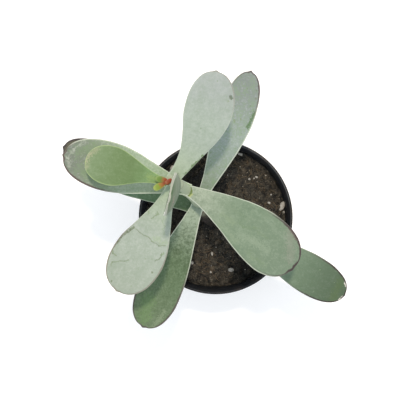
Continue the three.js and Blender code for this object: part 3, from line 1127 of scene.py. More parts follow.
@dataclass(frozen=True)
class Stem:
    """The woody stem with its swollen nodes.

    Attributes:
        line: Its middle line.
        finish: Its finish.
        slot: The name of its solid.
        stations: How many rings it has.
        sides: How many sides it has.
        ridge: How far its ridges stand out.
    """

    line: StemLine
    finish: StemFinish = StemFinish()
    slot: str = "stem"
    stations: int = 260
    sides: int = 40
    ridge: float = 0.16

    def build(self) -> Object:
        """Sweeps a ring along the stem's line and roughens its bark.

        Returns:
            The stem.
        """
        tree = Recipe(
            "Stem",
            foot_radius=self.line.foot_radius * MM,
            tip_radius=self.line.tip_radius * MM,
            foot_height=self.line.foot[2] * MM,
            length=self.line.top * MM,
            swelling=self.line.swelling * MM,
            node_length=self.line.node_length * MM,
            ridge_height=self.ridge * MM,
        )
        line = tree.wire("GeometryNodeMeshToCurve", {0: tree["Geometry"]})
        line = tree.wire("GeometryNodeResampleCurve", {0: line, "Count": self.stations})
        _x, _y, level = tree.split(tree.place())
        height = level - tree["Foot Height"]
        share = tree.clamped(height / tree["Length"])
        radius = tree.between(share, tree["Foot Radius"], tree["Tip Radius"])
        for node in self.line.nodes:
            offset = (height - node * MM) / tree["Node Length"]
            radius = radius + tree["Swelling"] * tree.math("EXPONENT", offset * offset * -1.0)
        ring = tree.wire("GeometryNodeCurvePrimitiveCircle", {"Resolution": self.sides, "Radius": 1.0})
        sweep = {"Curve": line, "Profile Curve": ring, "Scale": radius, "Fill Caps": True}
        tube = tree.wire("GeometryNodeCurveToMesh", sweep)
        ridges = tree.noise(tree.vector("MULTIPLY", tree.place(), (1.0, 1.0, 0.16)), 800.0, 3.0, 0.6)
        _x, _y, rise = tree.split(tree.place())
        age = tree.span(rise - tree["Foot Height"], 18.0 * MM, 55.0 * MM, 1.0, 0.25)
        tree.finish(tree.pushed(tube, (ridges - 0.5) * 2.0 * tree["Ridge Height"] * age))
        mesh = bpy.data.meshes.new("stem_line")
        foot = Vector(self.line.foot)
        rows = [metres(foot + Vector(row)) for row in self.line.points()]
        mesh.from_pydata(rows, [(index, index + 1) for index in range(len(rows) - 1)], [])
        return tree.make("stem_bark", mesh, material=self.dress())

    def dress(self) -> Material:
        """The stem's material, with a ring at each node."""
        rings = [self.line.foot[2] + node for node in self.line.nodes[:-1]]
        return self.finish.material("stem bark and skin", rings)

    def place(self, piece: Piece) -> None:
        """Builds the stem and lets it stand for its solid."""
        piece.mount(self.build(), self.slot, self.slot)


class BladeRecipe:
    """The Geometry Nodes tree that every leaf is made with: a ball drawn out along a bent line."""

    POINTS = ("foot_point", "middle_point", "end_point", "across")
    OUTLINE = ("width", "widest", "foot_share", "taper", "length", "tip_length", "tip_radius", "outline_waver")
    SECTION = ("thickness", "cup", "roll", "twist", "margin_wave", "face_unevenness", "shift")
    RINGS = 110
    SEGMENTS = 60
    END_FULLNESS = 2.25
    END_BLUNTNESS = 14.0
    THINNING = 0.35
    UPPER_SHARE = 0.375
    CUP_AT_FOOT = 1.6
    MARGIN_POWER = 0.85
    FACE_POWER = 0.7
    TIP_POWER = 1.4
    WAVERS_ALONG = 5.0
    WAVERS_ACROSS = 0.7
    WAVES_ALONG = 17.0
    WAVES_ACROSS = 1.3
    UNEVEN_SCALE = 110.0

    def __init__(self) -> None:
        """Builds the tree."""
        points = dict.fromkeys(self.POINTS, (0.0, 0.0, 0.0))
        self.tree = Recipe("Leaf Blade", **points, **dict.fromkeys(self.OUTLINE + self.SECTION, 0.0))
        self._build()

    def _half_width(self, along: Wire, across: Wire) -> Wire:
        """Half the leaf's width: narrow at the foot, widest past the middle, round at the end.

        Args:
            along: The share of the leaf's length.
            across: The place between its margins, from -1 to 1.

        Returns:
            Half the width, in metres.
        """
        tree, widest, foot = self.tree, self.tree["Widest"], self.tree["Foot Share"]
        climb = tree.math("SINE", (along / widest) ** tree["Taper"] * (math.pi / 2))
        before = foot + (1.0 - foot) * climb
        ending = tree.at_least((along - widest) / (1.0 - widest), 0.0)
        after = tree.at_least(1.0 - ending**self.END_FULLNESS, 0.0) ** (1 / self.END_FULLNESS)
        shape = tree.between(along > widest, before, after)
        spot = tree.joined(along * self.WAVERS_ALONG, across * self.WAVERS_ACROSS, tree["Shift"])
        waver = (tree.noise(spot, 1.0, 2.0) - 0.5) * 2.0 * tree["Outline Waver"]
        return shape * (waver + 1.0) * tree["Width"] * 0.5

    def _lift(self, along: Wire, across: Wire, through: Wire, half_width: Wire) -> Wire:
        """How far a point stands off the leaf's middle face, by its thickness, cup and wave.

        Args:
            along: The share of the leaf's length.
            across: The place between its margins, from -1 to 1.
            through: The place between its faces, from -1 to 1.
            half_width: Half its width there.

        Returns:
            The distance, in metres.
        """
        tree = self.tree
        rounding = tree.math("SQRT", tree.at_least(1.0 - along**self.END_BLUNTNESS, 0.0))
        face_share = tree.between(through > 0.0, 1 - self.UPPER_SHARE, self.UPPER_SHARE)
        half_thick = tree["Thickness"] * face_share * (1.0 - along * self.THINNING) * rounding
        channel = tree["Cup"] * (self.CUP_AT_FOOT - along) * across * across * half_width
        swing = tree.math("SINE", along * self.WAVES_ALONG + tree["Shift"] + across * self.WAVES_ACROSS)
        return half_thick * through + channel + swing * abs(across) ** 3.0 * tree["Margin Wave"] * along

    def _tip(self, along: Wire, sideways: Wire) -> Wire:
        """How far the small point draws the end out.

        Args:
            along: The share of the leaf's length.
            sideways: How far to the side of the middle.

        Returns:
            The distance, in metres.
        """
        tree = self.tree
        near = tree.at_least(1.0 - abs(sideways) / tree["Tip Radius"], 0.0)
        return near**self.TIP_POWER * tree["Tip Length"] * tree.span(along, 0.9, 1.0)

    def _build(self) -> None:
        """Shapes the ball, keeps each point's place on the leaf, and finishes the tree."""
        tree = self.tree
        ball = tree.wire("GeometryNodeMeshUVSphere", {"Segments": self.SEGMENTS, "Rings": self.RINGS})
        x, y, pole = tree.split(tree.place())
        along = (1.0 - pole) * 0.5
        ring = tree.at_least(tree.radius(x, y), 0.000001)
        across = tree.signed_power(x / ring, self.MARGIN_POWER)
        through = tree.signed_power(y / ring * -1.0, self.FACE_POWER)
        middle = tree["Middle Point"]
        first = tree.point_between(along, tree["Foot Point"], middle)
        second = tree.point_between(along, middle, tree["End Point"])
        direction = tree.vector("NORMALIZE", tree.vector("SUBTRACT", second, first))
        normal = tree.vector("NORMALIZE", tree.vector("CROSS_PRODUCT", direction, tree["Across"]))
        side = tree.vector("CROSS_PRODUCT", normal, direction)
        turn = {"Axis": direction, "Angle": tree["Roll"] + tree["Twist"] * (along - 0.5)}
        side, normal = (tree.wire("ShaderNodeVectorRotate", {"Vector": way, **turn}) for way in (side, normal))
        half_width = self._half_width(along, across)
        sideways = half_width * across
        point = tree.moved(tree.point_between(along, first, second), side, sideways)
        point = tree.moved(point, normal, self._lift(along, across, through, half_width))
        point = tree.moved(point, direction, self._tip(along, sideways))
        edge = (1.0 - abs(across)) * half_width
        edge = tree.math("MINIMUM", edge, (1.0 - along) * tree["Length"]) / MM
        blade = tree.joined(along * tree["Length"] / MM, sideways / MM, through)
        kept = tree.store(ball, "blade", "FLOAT_VECTOR", blade)
        kept = tree.store(kept, "edge", "FLOAT", edge)
        kept = tree.store(kept, "share", "FLOAT", along)
        kept = tree.store(kept, "goal", "FLOAT_VECTOR", point)
        shaped = tree.set_places(kept, tree.kept("goal"))
        bare = tree.wire("GeometryNodeRemoveAttribute", {"Geometry": shaped, "Name": "goal"})
        tree.finish(tree.roughened(bare, tree["Face Unevenness"], self.UNEVEN_SCALE, tree["Shift"]))


@dataclass(frozen=True)
class Leaf:
    """One leaf, placed by where it leaves the stem and where its tip is.

    Attributes:
        name: The piece's name.
        height: Where it leaves the stem.
        turn: Its direction, in degrees.
        reach: How far out its tip is.
        sideways: How far its tip is to the side.
        rise: How much higher its tip is.
        bow: How far its middle stands to the side.
        arch: How far its middle stands above the straight line.
        width: Its greatest width.
        widest: The share of its length where that is.
        foot: Its width at the foot, as a share.
        taper: How long it stays narrow.
        thick: Its thickness.
        cup: How far its margins stand up.
        roll: Its turn about its own line, in degrees.
        twist: How much that turn changes from foot to tip.
        finish: Its finish.
        start: How far from the stem's middle line it starts.
        aside: How far to the side of that it starts.
        tip: The length of its small point, as a share of its width.
        waver: How uneven its outline is.
        wave: How far its margin waves.
        uneven: How uneven its faces are.
    """

    name: str
    height: float
    turn: float
    reach: float
    sideways: float
    rise: float
    bow: float
    arch: float
    width: float
    widest: float
    foot: float
    taper: float
    thick: float
    cup: float
    roll: float
    twist: float
    finish: Union[LeafFinish, TipFinish]
    start: float = 1.8
    aside: float = 0.0
    tip: float = 0.02
    waver: float = 0.02
    wave: float = 0.35
    uneven: float = 0.22

    TIP_SPREAD = 0.08

    def build(self, recipe: BladeRecipe, line: StemLine) -> Object:
        """Makes the leaf.

        Args:
            recipe: The tree that all leaves are made with.
            line: The stem's middle line.

        Returns:
            The leaf.
        """
        turn = math.radians(self.turn)
        outward = Vector((math.cos(turn), math.sin(turn), 0))
        across = Vector((-math.sin(turn), math.cos(turn), 0))
        stem = line.at(min(self.height, line.top))
        begin = Vector(line.foot) + Vector((stem.x, stem.y, self.height))
        begin = begin + outward * self.start + across * self.aside
        end = begin + outward * self.reach + across * self.sideways + Vector((0, 0, self.rise))
        above = (end - begin).normalized().cross(across)
        middle = (begin + end) / 2 + across * 2 * self.bow + above * 2 * self.arch
        return recipe.tree.make(
            self.name + "_blade",
            bpy.data.meshes.new(self.name),
            foot_point=begin * MM,
            middle_point=middle * MM,
            end_point=end * MM,
            across=across,
            width=self.width * MM,
            widest=self.widest,
            foot_share=self.foot,
            taper=self.taper,
            thickness=self.thick * MM,
            cup=self.cup,
            roll=math.radians(self.roll),
            twist=math.radians(self.twist),
            length=(end - begin).length * MM,
            tip_length=self.tip * self.width * MM,
            tip_radius=self.TIP_SPREAD * self.width * MM,
            outline_waver=self.waver,
            margin_wave=self.wave * MM,
            face_unevenness=self.uneven * MM,
            shift=self.height * 0.37 + abs(self.turn) * 0.11,
            material=self.dress(),
        )

    def dress(self) -> Material:
        """The leaf's material."""
        return self.finish.material(self.name.replace("_", " ") + " skin")


@dataclass(frozen=True)
class Plant:
    """The stem with its five pairs of leaves and the bud on top.

    Attributes:
        line: The stem's middle line.
        leaves: The grown leaves, each named for its solid.
        bud: The tiny leaves of the bud. The first one stands for its solid.
        bud_slot: The name of the bud's solid.
    """

    line: StemLine
    leaves: tuple[Leaf, ...]
    bud: tuple[Leaf, ...]
    bud_slot: str = "growing_tip"

    def place(self, piece: Piece) -> None:
        """Builds the whole plant.

        Args:
            piece: Puts each piece on the object.
        """
        Stem(self.line).place(piece)
        recipe = BladeRecipe()
        for leaf in self.leaves:
            piece.mount(leaf.build(recipe, self.line), leaf.name, leaf.name)
        for index, leaf in enumerate(self.bud):
            nodes = () if index else (self.bud_slot,)
            piece.mount(leaf.build(recipe, self.line), self.bud_slot, *nodes)


@dataclass(frozen=True)
class Pot:
    """The round nursery pot.

    Attributes:
        height: Its height.
        rim_radius: Its radius at the rim.
        foot_radius: Its radius at the foot.
        wall: The thickness of its wall.
        lip_width: The width of the rim's top.
        lip_height: The height of the rim's lip.
        band_depth: How far the stiff band reaches down.
        band_step: How far the band stands out.
        band_clearance: How far the band's top stays inside the lip.
        ribs: The heights of the ribs on the band, above its foot.
        rib_depth: How far they stand out.
        rib_height: Half their height.
        floor: The thickness of the floor.
        hub_radius: The radius of the floor's middle foot.
        foot_ring: The width of the outer foot.
        recess: How high the ring between the feet is.
        holes: How many drain holes it has.
        hole_radius: Their radius.
        hole_sides: How many sides they have.
        sides: How many sides it has.
        sharp: The angle from which an edge stays sharp, in degrees.
        finish: Its finish.
        slot: The name of its solid.
    """

    height: float = 76.0
    rim_radius: float = 45.0
    foot_radius: float = 32.0
    wall: float = 0.9
    lip_width: float = 1.6
    lip_height: float = 2.2
    band_depth: float = 11.0
    band_step: float = 0.6
    band_clearance: float = 0.4
    ribs: tuple[float, ...] = (3.0, 4.6, 6.2)
    rib_depth: float = 0.22
    rib_height: float = 0.35
    floor: float = 1.6
    hub_radius: float = 13.0
    foot_ring: float = 5.0
    recess: float = 1.5
    holes: int = 6
    hole_radius: float = 3.0
    hole_sides: int = 40
    sides: int = 192
    sharp: float = 38.0
    finish: PotFinish = PotFinish()
    slot: str = "pot"

    def wall_radius(self, height: float) -> float:
        """The outer radius under the band."""
        top = self.rim_radius - self.band_step - self.band_clearance
        return self.foot_radius + (top - self.foot_radius) * height / self.height

    def inside_radius(self, height: float) -> float:
        """The inner radius."""
        return self.wall_radius(height) - self.wall

    def _outside(self) -> list[Pair]:
        """The profile from the middle of the foot up to the foot of the rim's lip.

        Returns:
            A radius and a height for each point.
        """
        foot, hub, recess = self.foot_radius, self.hub_radius, self.recess
        band, ring, step = self.height - self.band_depth, foot - self.foot_ring, self.band_step
        rows = [(0, 0), (hub, 0), (hub + recess, recess), (ring - recess, recess), (ring, 0)]
        rows += [(foot - 1, 0), (foot - 0.3, 0.3), (foot, 1), (self.wall_radius(band), band)]
        rows += [(self.wall_radius(band) + step * 0.8, band + 0.25), (self.wall_radius(band) + step, band + step)]
        for rib in self.ribs:
            base, level = self.wall_radius(band + rib) + step, band + rib
            rows += [(base, level - self.rib_height), (base + self.rib_depth, level), (base, level + self.rib_height)]
        return rows

    def _lip(self) -> list[Pair]:
        """The profile round the rim's lip, with the thin ridge on its top."""
        rim, top, under = self.rim_radius, self.height, self.height - self.lip_height
        return [
            (rim - 0.6, under - 0.6),
            (rim - 0.12, under - 0.3),
            (rim, under),
            (rim, top - 0.4),
            (rim - 0.1, top - 0.28),
            (rim - 0.72, top - 0.26),
            (rim - 0.82, top),
            (rim - 1.18, top),
            (rim - 1.3, top - 0.26),
            (rim - self.lip_width, top - 0.55),
        ]

    def _inside(self) -> list[Pair]:
        """The profile from the lip down the inner face to the middle of the floor."""
        under, floor = self.height - self.lip_height, self.recess + self.floor
        return [
            (self.inside_radius(under) + 0.05, under + 0.2),
            (self.inside_radius(under) - 0.35, under - 0.2),
            (self.inside_radius(under - 1.0) - 0.35, under - 1.2),
            (self.inside_radius(under - 1.4), under - 1.6),
            (self.inside_radius(floor + 1), floor + 1),
            (self.inside_radius(floor) - 0.3, floor + 0.3),
            (self.inside_radius(floor) - 1, floor),
            (0, floor),
        ]

    def _turned(self) -> Mesh:
        """Turns the profile into a closed shell.

        Returns:
            The shell.
        """
        build = bmesh.new()
        rings: list[list[bmesh.types.BMVert]] = []
        for radius, level in self._outside() + self._lip() + self._inside():
            count = self.sides if radius > 0 else 1
            angles = [2 * math.pi * index / count for index in range(count)]
            spots = [metres((radius * math.cos(a), radius * math.sin(a), level)) for a in angles]
            rings.append([build.verts.new(spot) for spot in spots])
        for lower, upper in zip(rings, rings[1:]):
            for index in range(self.sides):
                following = (index + 1) % self.sides
                corners = [lower[index % len(lower)], lower[following % len(lower)]]
                corners += [upper[following % len(upper)], upper[index % len(upper)]]
                build.faces.new(list(dict.fromkeys(corners)))
        bmesh.ops.recalc_face_normals(build, faces=build.faces)
        mesh = bpy.data.meshes.new("turned_pot")
        build.to_mesh(mesh)
        build.free()
        return mesh

    def build(self) -> Object:
        """Turns the pot and cuts its drain holes.

        Returns:
            The pot.
        """
        tree = Recipe(
            "Pot With Drain Holes",
            holes=self.holes,
            hole_radius=self.hole_radius * MM,
            circle_radius=(self.hub_radius + self.foot_radius - self.foot_ring) / 2 * MM,
            depth=4 * (self.recess + self.floor) * MM,
        )
        circle = {"Vertices": tree["Holes"], "Radius": tree["Circle Radius"]}
        drill = {"Vertices": self.hole_sides, "Radius": tree["Hole Radius"], "Depth": tree["Depth"]}
        spots = tree.wire("GeometryNodeMeshCircle", circle)
        drills = tree.copies(spots, tree.wire("GeometryNodeMeshCylinder", drill))
        tree.finish(tree.wire("GeometryNodeMeshBoolean", {"Mesh 1": tree["Geometry"], "Mesh 2": drills}))
        pot = tree.make("nursery_pot", self._turned(), material=self.dress())
        pot.data.set_sharp_from_angle(angle=math.radians(self.sharp))
        return pot

    def dress(self) -> Material:
        """The pot's material."""
        return self.finish.material("black nursery plastic")

    def place(self, piece: Piece) -> None:
        """Builds the pot and lets it stand for its solid."""
        piece.mount(self.build(), self.slot, self.slot)


class GrainKind(Enum):
    """What is strewn over the soil."""

    CRUMB = "crumb"
    DUST = "dust"
    CHIP = "chip"
    PERLITE = "perlite"


@dataclass(frozen=True)
class Strewn:
    """One kind of small grain on the soil.

    Attributes:
        kind: What it is.
        density: How many there are on a square metre.
        smallest: The smallest half size.
        largest: The largest half size.
        flatness: How flat the grains lie, from 0 to 1.
        lumps: How rough they are.
        seed: The seed of their places and sizes.
        finish: Their finish.
    """

    kind: GrainKind
    density: float
    smallest: float
    largest: float
    flatness: float
    lumps: float
    seed: int
    finish: Union[SoilFinish, PerliteFinish]

    def build(self, recipe: Recipe, bed: Object) -> Object:
        """Strews the grains over the bed.

        Args:
            recipe: The tree that strews them.
            bed: The bed of soil.

        Returns:
            The grains.
        """
        return recipe.make(
            f"soil_{self.kind.value}",
            bed.data.copy(),
            density=self.density,
            smallest=self.smallest * MM,
            largest=self.largest * MM,
            flatness=self.flatness,
            lumps=self.lumps * MM,
            seed=self.seed,
            material=self.finish.material(f"soil {self.kind.value}"),
        )


@dataclass(frozen=True)
class Fibres:
    """The bent coir fibres on the soil.

    Attributes:
        density: How many there are on a square metre.
        shortest: The length of the shortest.
        longest: The length of the longest.
        thick: Their radius, as a share of their length.
        lumps: How rough they are.
        seed: The seed of their places and lengths.
        finish: Their finish.
    """

    density: float = 150000.0
    shortest: float = 2.5
    longest: float = 6.5
    thick: float = 0.032
    lumps: float = 0.12
    seed: int = 21
    finish: SoilFinish = SoilFinish((58, 52, 44), (100, 88, 72), (150, 136, 114), patch=0.6)


@dataclass(frozen=True)
class Soil:
    """The potting mix with its crumbs, fibres and perlite.

    Attributes:
        pot: The pot that it fills.
        stem: The stem's foot, which the grains stay clear of.
        level: The height of its top.
        bottom: The height of its bottom.
        bottom_clearance: The gap to the wall at the bottom.
        edge_drop: How much lower it is at the wall.
        clearance: The gap to the wall at the top.
        waves: The swells of its top: height, across, deep and shift.
        lump_height: The height of its lumps.
        clod_height: The height of its clods.
        grit_height: The height of its grit.
        grid: How many points its top has along each side.
        off_wall: How far the grains stay from the wall.
        fibres_off_wall: How far the fibres stay from it.
        off_stem: How far both stay from the stem's middle.
        perlite: The perlite that has a place of its own: across, deep, the two half sizes and its turn.
        perlite_lift: How far its middle stands over the top.
        perlite_lumps: How rough it is.
        perlite_seed: The seed of its tilt.
        strewn: What is strewn over it.
        fibres: Its fibres.
        finish: Its finish.
        slot: The name of its solid.
    """

    pot: Pot
    stem: Triple
    level: float = 68.0
    bottom: float = 3.4
    bottom_clearance: float = 1.4
    edge_drop: float = 2.2
    clearance: float = 0.15
    waves: tuple[tuple[float, float, float, float], ...] = (
        (0.5, 0.19, 0.23, 0.9), (0.4, 0.19, -0.23, 1.7), (0.45, 0.71, -0.53, 2.1),
        (0.4, 0.47, 0.62, 0.0), (0.15, 0.97, 0.91, 2.1),
    )
    lump_height: float = 0.9
    clod_height: float = 0.8
    grit_height: float = 0.35
    grid: int = 190
    off_wall: float = 1.2
    fibres_off_wall: float = 3.6
    off_stem: float = 5.2
    perlite: tuple[tuple[float, float, float, float, float], ...] = (
        (-25.6, 29.2, 1.4, 1.6, -15), (39.7, 6.8, 1.5, 2.7, -12), (38.6, 4.6, 0.9, 0.8, 40),
        (40.6, 3.0, 0.6, 0.8, 0), (14.8, 37.6, 1.55, 0.95, -20), (20.1, 22.6, 0.7, 0.75, 0),
        (24.4, 23.8, 0.95, 0.55, -35), (22.8, 22.9, 0.5, 0.5, 0), (29.8, 24.8, 0.55, 0.5, 0),
        (33.1, 13.4, 0.5, 0.55, 0), (31.7, 8.5, 0.9, 0.6, -10), (-2.1, -21.7, 0.7, 1.1, 10),
        (9.2, -31.3, 1.6, 1.3, -15), (-2.7, -32.6, 0.7, 0.7, 0), (-13.9, -27.2, 0.8, 0.9, 0),
    )
    perlite_lift: float = 0.35
    perlite_lumps: float = 0.45
    perlite_seed: int = 4
    strewn: tuple[Strewn, ...] = (
        Strewn(GrainKind.DUST, 260000, 0.25, 0.75, 0.25, 0.25, 3, SoilFinish(patch=0.62)),
        Strewn(GrainKind.CRUMB, 90000, 0.7, 1.9, 0.35, 0.4, 5, SoilFinish(patch=0.55)),
        Strewn(GrainKind.CHIP, 16000, 0.9, 2.4, 0.72, 0.3, 8, SoilFinish((44, 42, 39), (88, 81, 70), (152, 141, 122))),
        Strewn(GrainKind.PERLITE, 7000, 0.22, 0.5, 0.2, 0.2, 12, PerliteFinish()),
    )
    fibres: Fibres = Fibres()
    finish: SoilFinish = SoilFinish()
    slot: str = "soil"

    FULL_TURN = 6.283

    def height_at(self, across: float, deep: float) -> float:
        """The height of the soil's top without its lumps.

        Args:
            across: The place across.
            deep: The place deep.

        Returns:
            The height above the floor.
        """
        outward = math.hypot(across, deep) / self.pot.inside_radius(self.level)
        relief = sum(h * math.sin(a * across + d * deep + s) for h, a, d, s in self.waves)
        return self.level + relief - self.edge_drop * outward**6

    def bed(self) -> Object:
        """Makes the body of soil: a block rounded to fill the pot, with a lumpy top.

        Returns:
            The bed.
        """
        tree = Recipe(
            "Soil Bed",
            bottom_radius=(self.pot.inside_radius(self.bottom) - self.bottom_clearance) * MM,
            top_radius=(self.pot.inside_radius(self.level) - self.clearance) * MM,
            bottom_height=self.bottom * MM,
            top_height=self.level * MM,
            edge_drop=self.edge_drop * MM,
            lump_height=self.lump_height * MM,
            clod_height=self.clod_height * MM,
            grit_height=self.grit_height * MM,
        )
        size = {"Size": (2.0, 2.0, 1.0), "Vertices X": self.grid, "Vertices Y": self.grid, "Vertices Z": 4}
        block = tree.wire("GeometryNodeMeshCube", size)
        x, y, level = tree.split(tree.place())
        share = level + 0.5
        radius = tree.between(share, tree["Bottom Radius"], tree["Top Radius"])
        round_x = x * tree.math("SQRT", 1.0 - y * y * 0.5)
        round_y = y * tree.math("SQRT", 1.0 - x * x * 0.5)
        across, deep = round_x * radius, round_y * radius
        spot = tree.joined(across, deep, 0.0)
        swell: Value = 0.0
        for height, a, d, shift in self.waves:
            swell = tree.math("SINE", across * (a / MM) + deep * (d / MM) + shift) * (height * MM) + swell
        lumps = tree.span(tree.noise(spot, 150.0, 3.0, 0.6), 0.35, 0.7, -0.5, 0.6) * tree["Lump Height"]
        clods = tree.span(tree.noise(spot, 430.0, 3.0, 0.65), 0.35, 0.68, -0.5, 0.6) * tree["Clod Height"]
        grit = (tree.noise(spot, 1300.0, 2.0, 0.7) - 0.5) * 2.0 * tree["Grit Height"]
        drop = tree.radius(round_x, round_y) ** 6.0 * tree["Edge Drop"]
        rise = tree.between(share, tree["Bottom Height"], tree["Top Height"])
        height = rise + (swell + lumps + clods + grit - drop) * (share > 0.99)
        tree.finish(tree.set_places(block, tree.joined(across, deep, height)))
        start = bpy.data.meshes.new("soil_start")
        return tree.make("soil_bed", start, material=self.finish.material("peaty potting mix"))

    def _spots(self, tree: Recipe, off_wall: float) -> Wire:
        """Random spots for grains: on the top, off the wall and clear of the stem.

        Args:
            tree: The tree that strews them, with a Density and a Seed.
            off_wall: How far they stay from the wall.

        Returns:
            The spots.
        """
        _x, _y, facing = tree.split(tree.wire("GeometryNodeInputNormal"))
        across, deep, level = tree.split(tree.place())
        from_stem = tree.vector("DISTANCE", tree.joined(across, deep, 0.0), metres((*self.stem[:2], 0)))
        limit = (self.pot.inside_radius(self.level) - off_wall) * MM
        inside = (tree.radius(across, deep) < limit) * (from_stem > self.off_stem * MM)
        inside = inside * (facing > 0.1) * (level > 50.0 * MM)
        given = {"Mesh": tree["Geometry"], "Density": tree["Density"], "Seed": tree["Seed"]}
        return tree.wire("GeometryNodeDistributePointsOnFaces", {**given, "Selection": inside})

    def _strewing(self) -> Recipe:
        """Builds the tree that strews rough grains over the bed.

        Returns:
            The tree.
        """
        tree = Recipe("Strewn Grains", density=0.0, smallest=0.0, largest=0.0, flatness=0.0, lumps=0.0, seed=0)
        seed = tree["Seed"]
        spots = self._spots(tree, self.off_wall)
        grain = tree.wire("GeometryNodeMeshUVSphere", {"Segments": 8, "Rings": 5})
        size = tree.between(tree.random(0.0, 1.0, seed) ** 2.2, tree["Smallest"], tree["Largest"])
        form = tree.random_vector((0.65, 0.65, 0.65), (1.25, 1.25, 1.0), seed + 1.0)
        form = tree.vector("MULTIPLY", form, tree.joined(1.0, 1.0, 1.0 - tree["Flatness"]))
        euler = tree.random_vector((-0.45, -0.45, 0.0), (0.45, 0.45, self.FULL_TURN), seed + 2.0)
        grains = tree.copies(spots, grain, euler, tree.scaled(form, size))
        tree.finish(tree.roughened(grains, tree["Lumps"], 700.0, 0.0))
        return tree

    def _fibres(self, bed: Object) -> Object:
        """Strews bent fibres over the bed.

        Args:
            bed: The bed of soil.

        Returns:
            The fibres.
        """
        fibres = self.fibres
        tree = Recipe(
            "Fibres",
            density=fibres.density,
            shortest=fibres.shortest * MM,
            longest=fibres.longest * MM,
            seed=fibres.seed,
        )
        seed = tree["Seed"]
        spots = self._spots(tree, self.fibres_off_wall)
        bend = {"Resolution": 6, "Start": (-0.5, 0.0, -0.04), "Middle": (0.0, 0.3, 0.16), "End": (0.5, -0.05, -0.02)}
        line = tree.wire("GeometryNodeCurveQuadraticBezier", bend)
        ring = tree.wire("GeometryNodeCurvePrimitiveCircle", {"Resolution": 4, "Radius": 1.0})
        sweep = {"Curve": line, "Profile Curve": ring, "Scale": fibres.thick, "Fill Caps": True}
        strand = tree.wire("GeometryNodeCurveToMesh", sweep)
        share = tree.random(0.0, 1.0, seed + 1.0) ** 2.0
        length = tree.between(share, tree["Shortest"], tree["Longest"])
        euler = tree.random_vector((-0.3, -0.2, 0.0), (0.9, 0.2, self.FULL_TURN), seed + 2.0)
        strands = tree.copies(spots, strand, euler, tree.joined(length, length, length))
        tree.finish(tree.roughened(strands, fibres.lumps * MM, 500.0, 0.0))
        return tree.make("soil_fibres", bed.data.copy(), material=fibres.finish.material("coir fibre"))

    def _placed_perlite(self) -> Object:
        """Makes the perlite grains that have a place of their own.

        Returns:
            The grains.
        """
        tree = Recipe("Perlite Grains", lumps=self.perlite_lumps * MM, seed=self.perlite_seed)
        grain = tree.wire("GeometryNodeMeshIcoSphere", {"Radius": 1.0, "Subdivisions": 5})
        tilt = tree.random_vector((-0.2, -0.2, -0.1), (0.2, 0.2, 0.1), tree["Seed"])
        euler = tree.vector("ADD", tree.kept("turn"), tilt)
        grains = tree.copies(tree["Geometry"], grain, euler, tree.kept("half"))
        rough = tree.roughened(grains, tree["Lumps"], 620.0, 0.0, 3.0)
        tree.finish(tree.roughened(rough, tree["Lumps"] * 0.25, 2600.0, 0.3))
        mesh = bpy.data.meshes.new("perlite_places")
        spots = [metres((x, y, self.height_at(x, y) + self.perlite_lift + 0.2 * b)) for x, y, _a, b, _t in self.perlite]
        mesh.from_pydata(spots, [], [])
        sizes = [v * MM for _x, _y, wide, deep, _t in self.perlite for v in (wide, deep, min(wide, deep))]
        turns = [v for *_sizes, angle in self.perlite for v in (0.0, 0.0, math.radians(angle))]
        for label, numbers in {"half": sizes, "turn": turns}.items():
            mesh.attributes.new(label, "FLOAT_VECTOR", "POINT").data.foreach_set("vector", numbers)
        return tree.make("perlite_grains", mesh, material=PerliteFinish().material("perlite"))

    def place(self, piece: Piece) -> None:
        """Builds the bed and strews the grains and fibres over it.

        Args:
            piece: Puts each piece on the object.
        """
        bed = self.bed()
        strewing = self._strewing()
        for kind in self.strewn:
            piece.mount(kind.build(strewing, bed), self.slot)
        piece.mount(self._fibres(bed), self.slot)
        piece.mount(self._placed_perlite(), self.slot)
        piece.mount(bed, self.slot, self.slot)


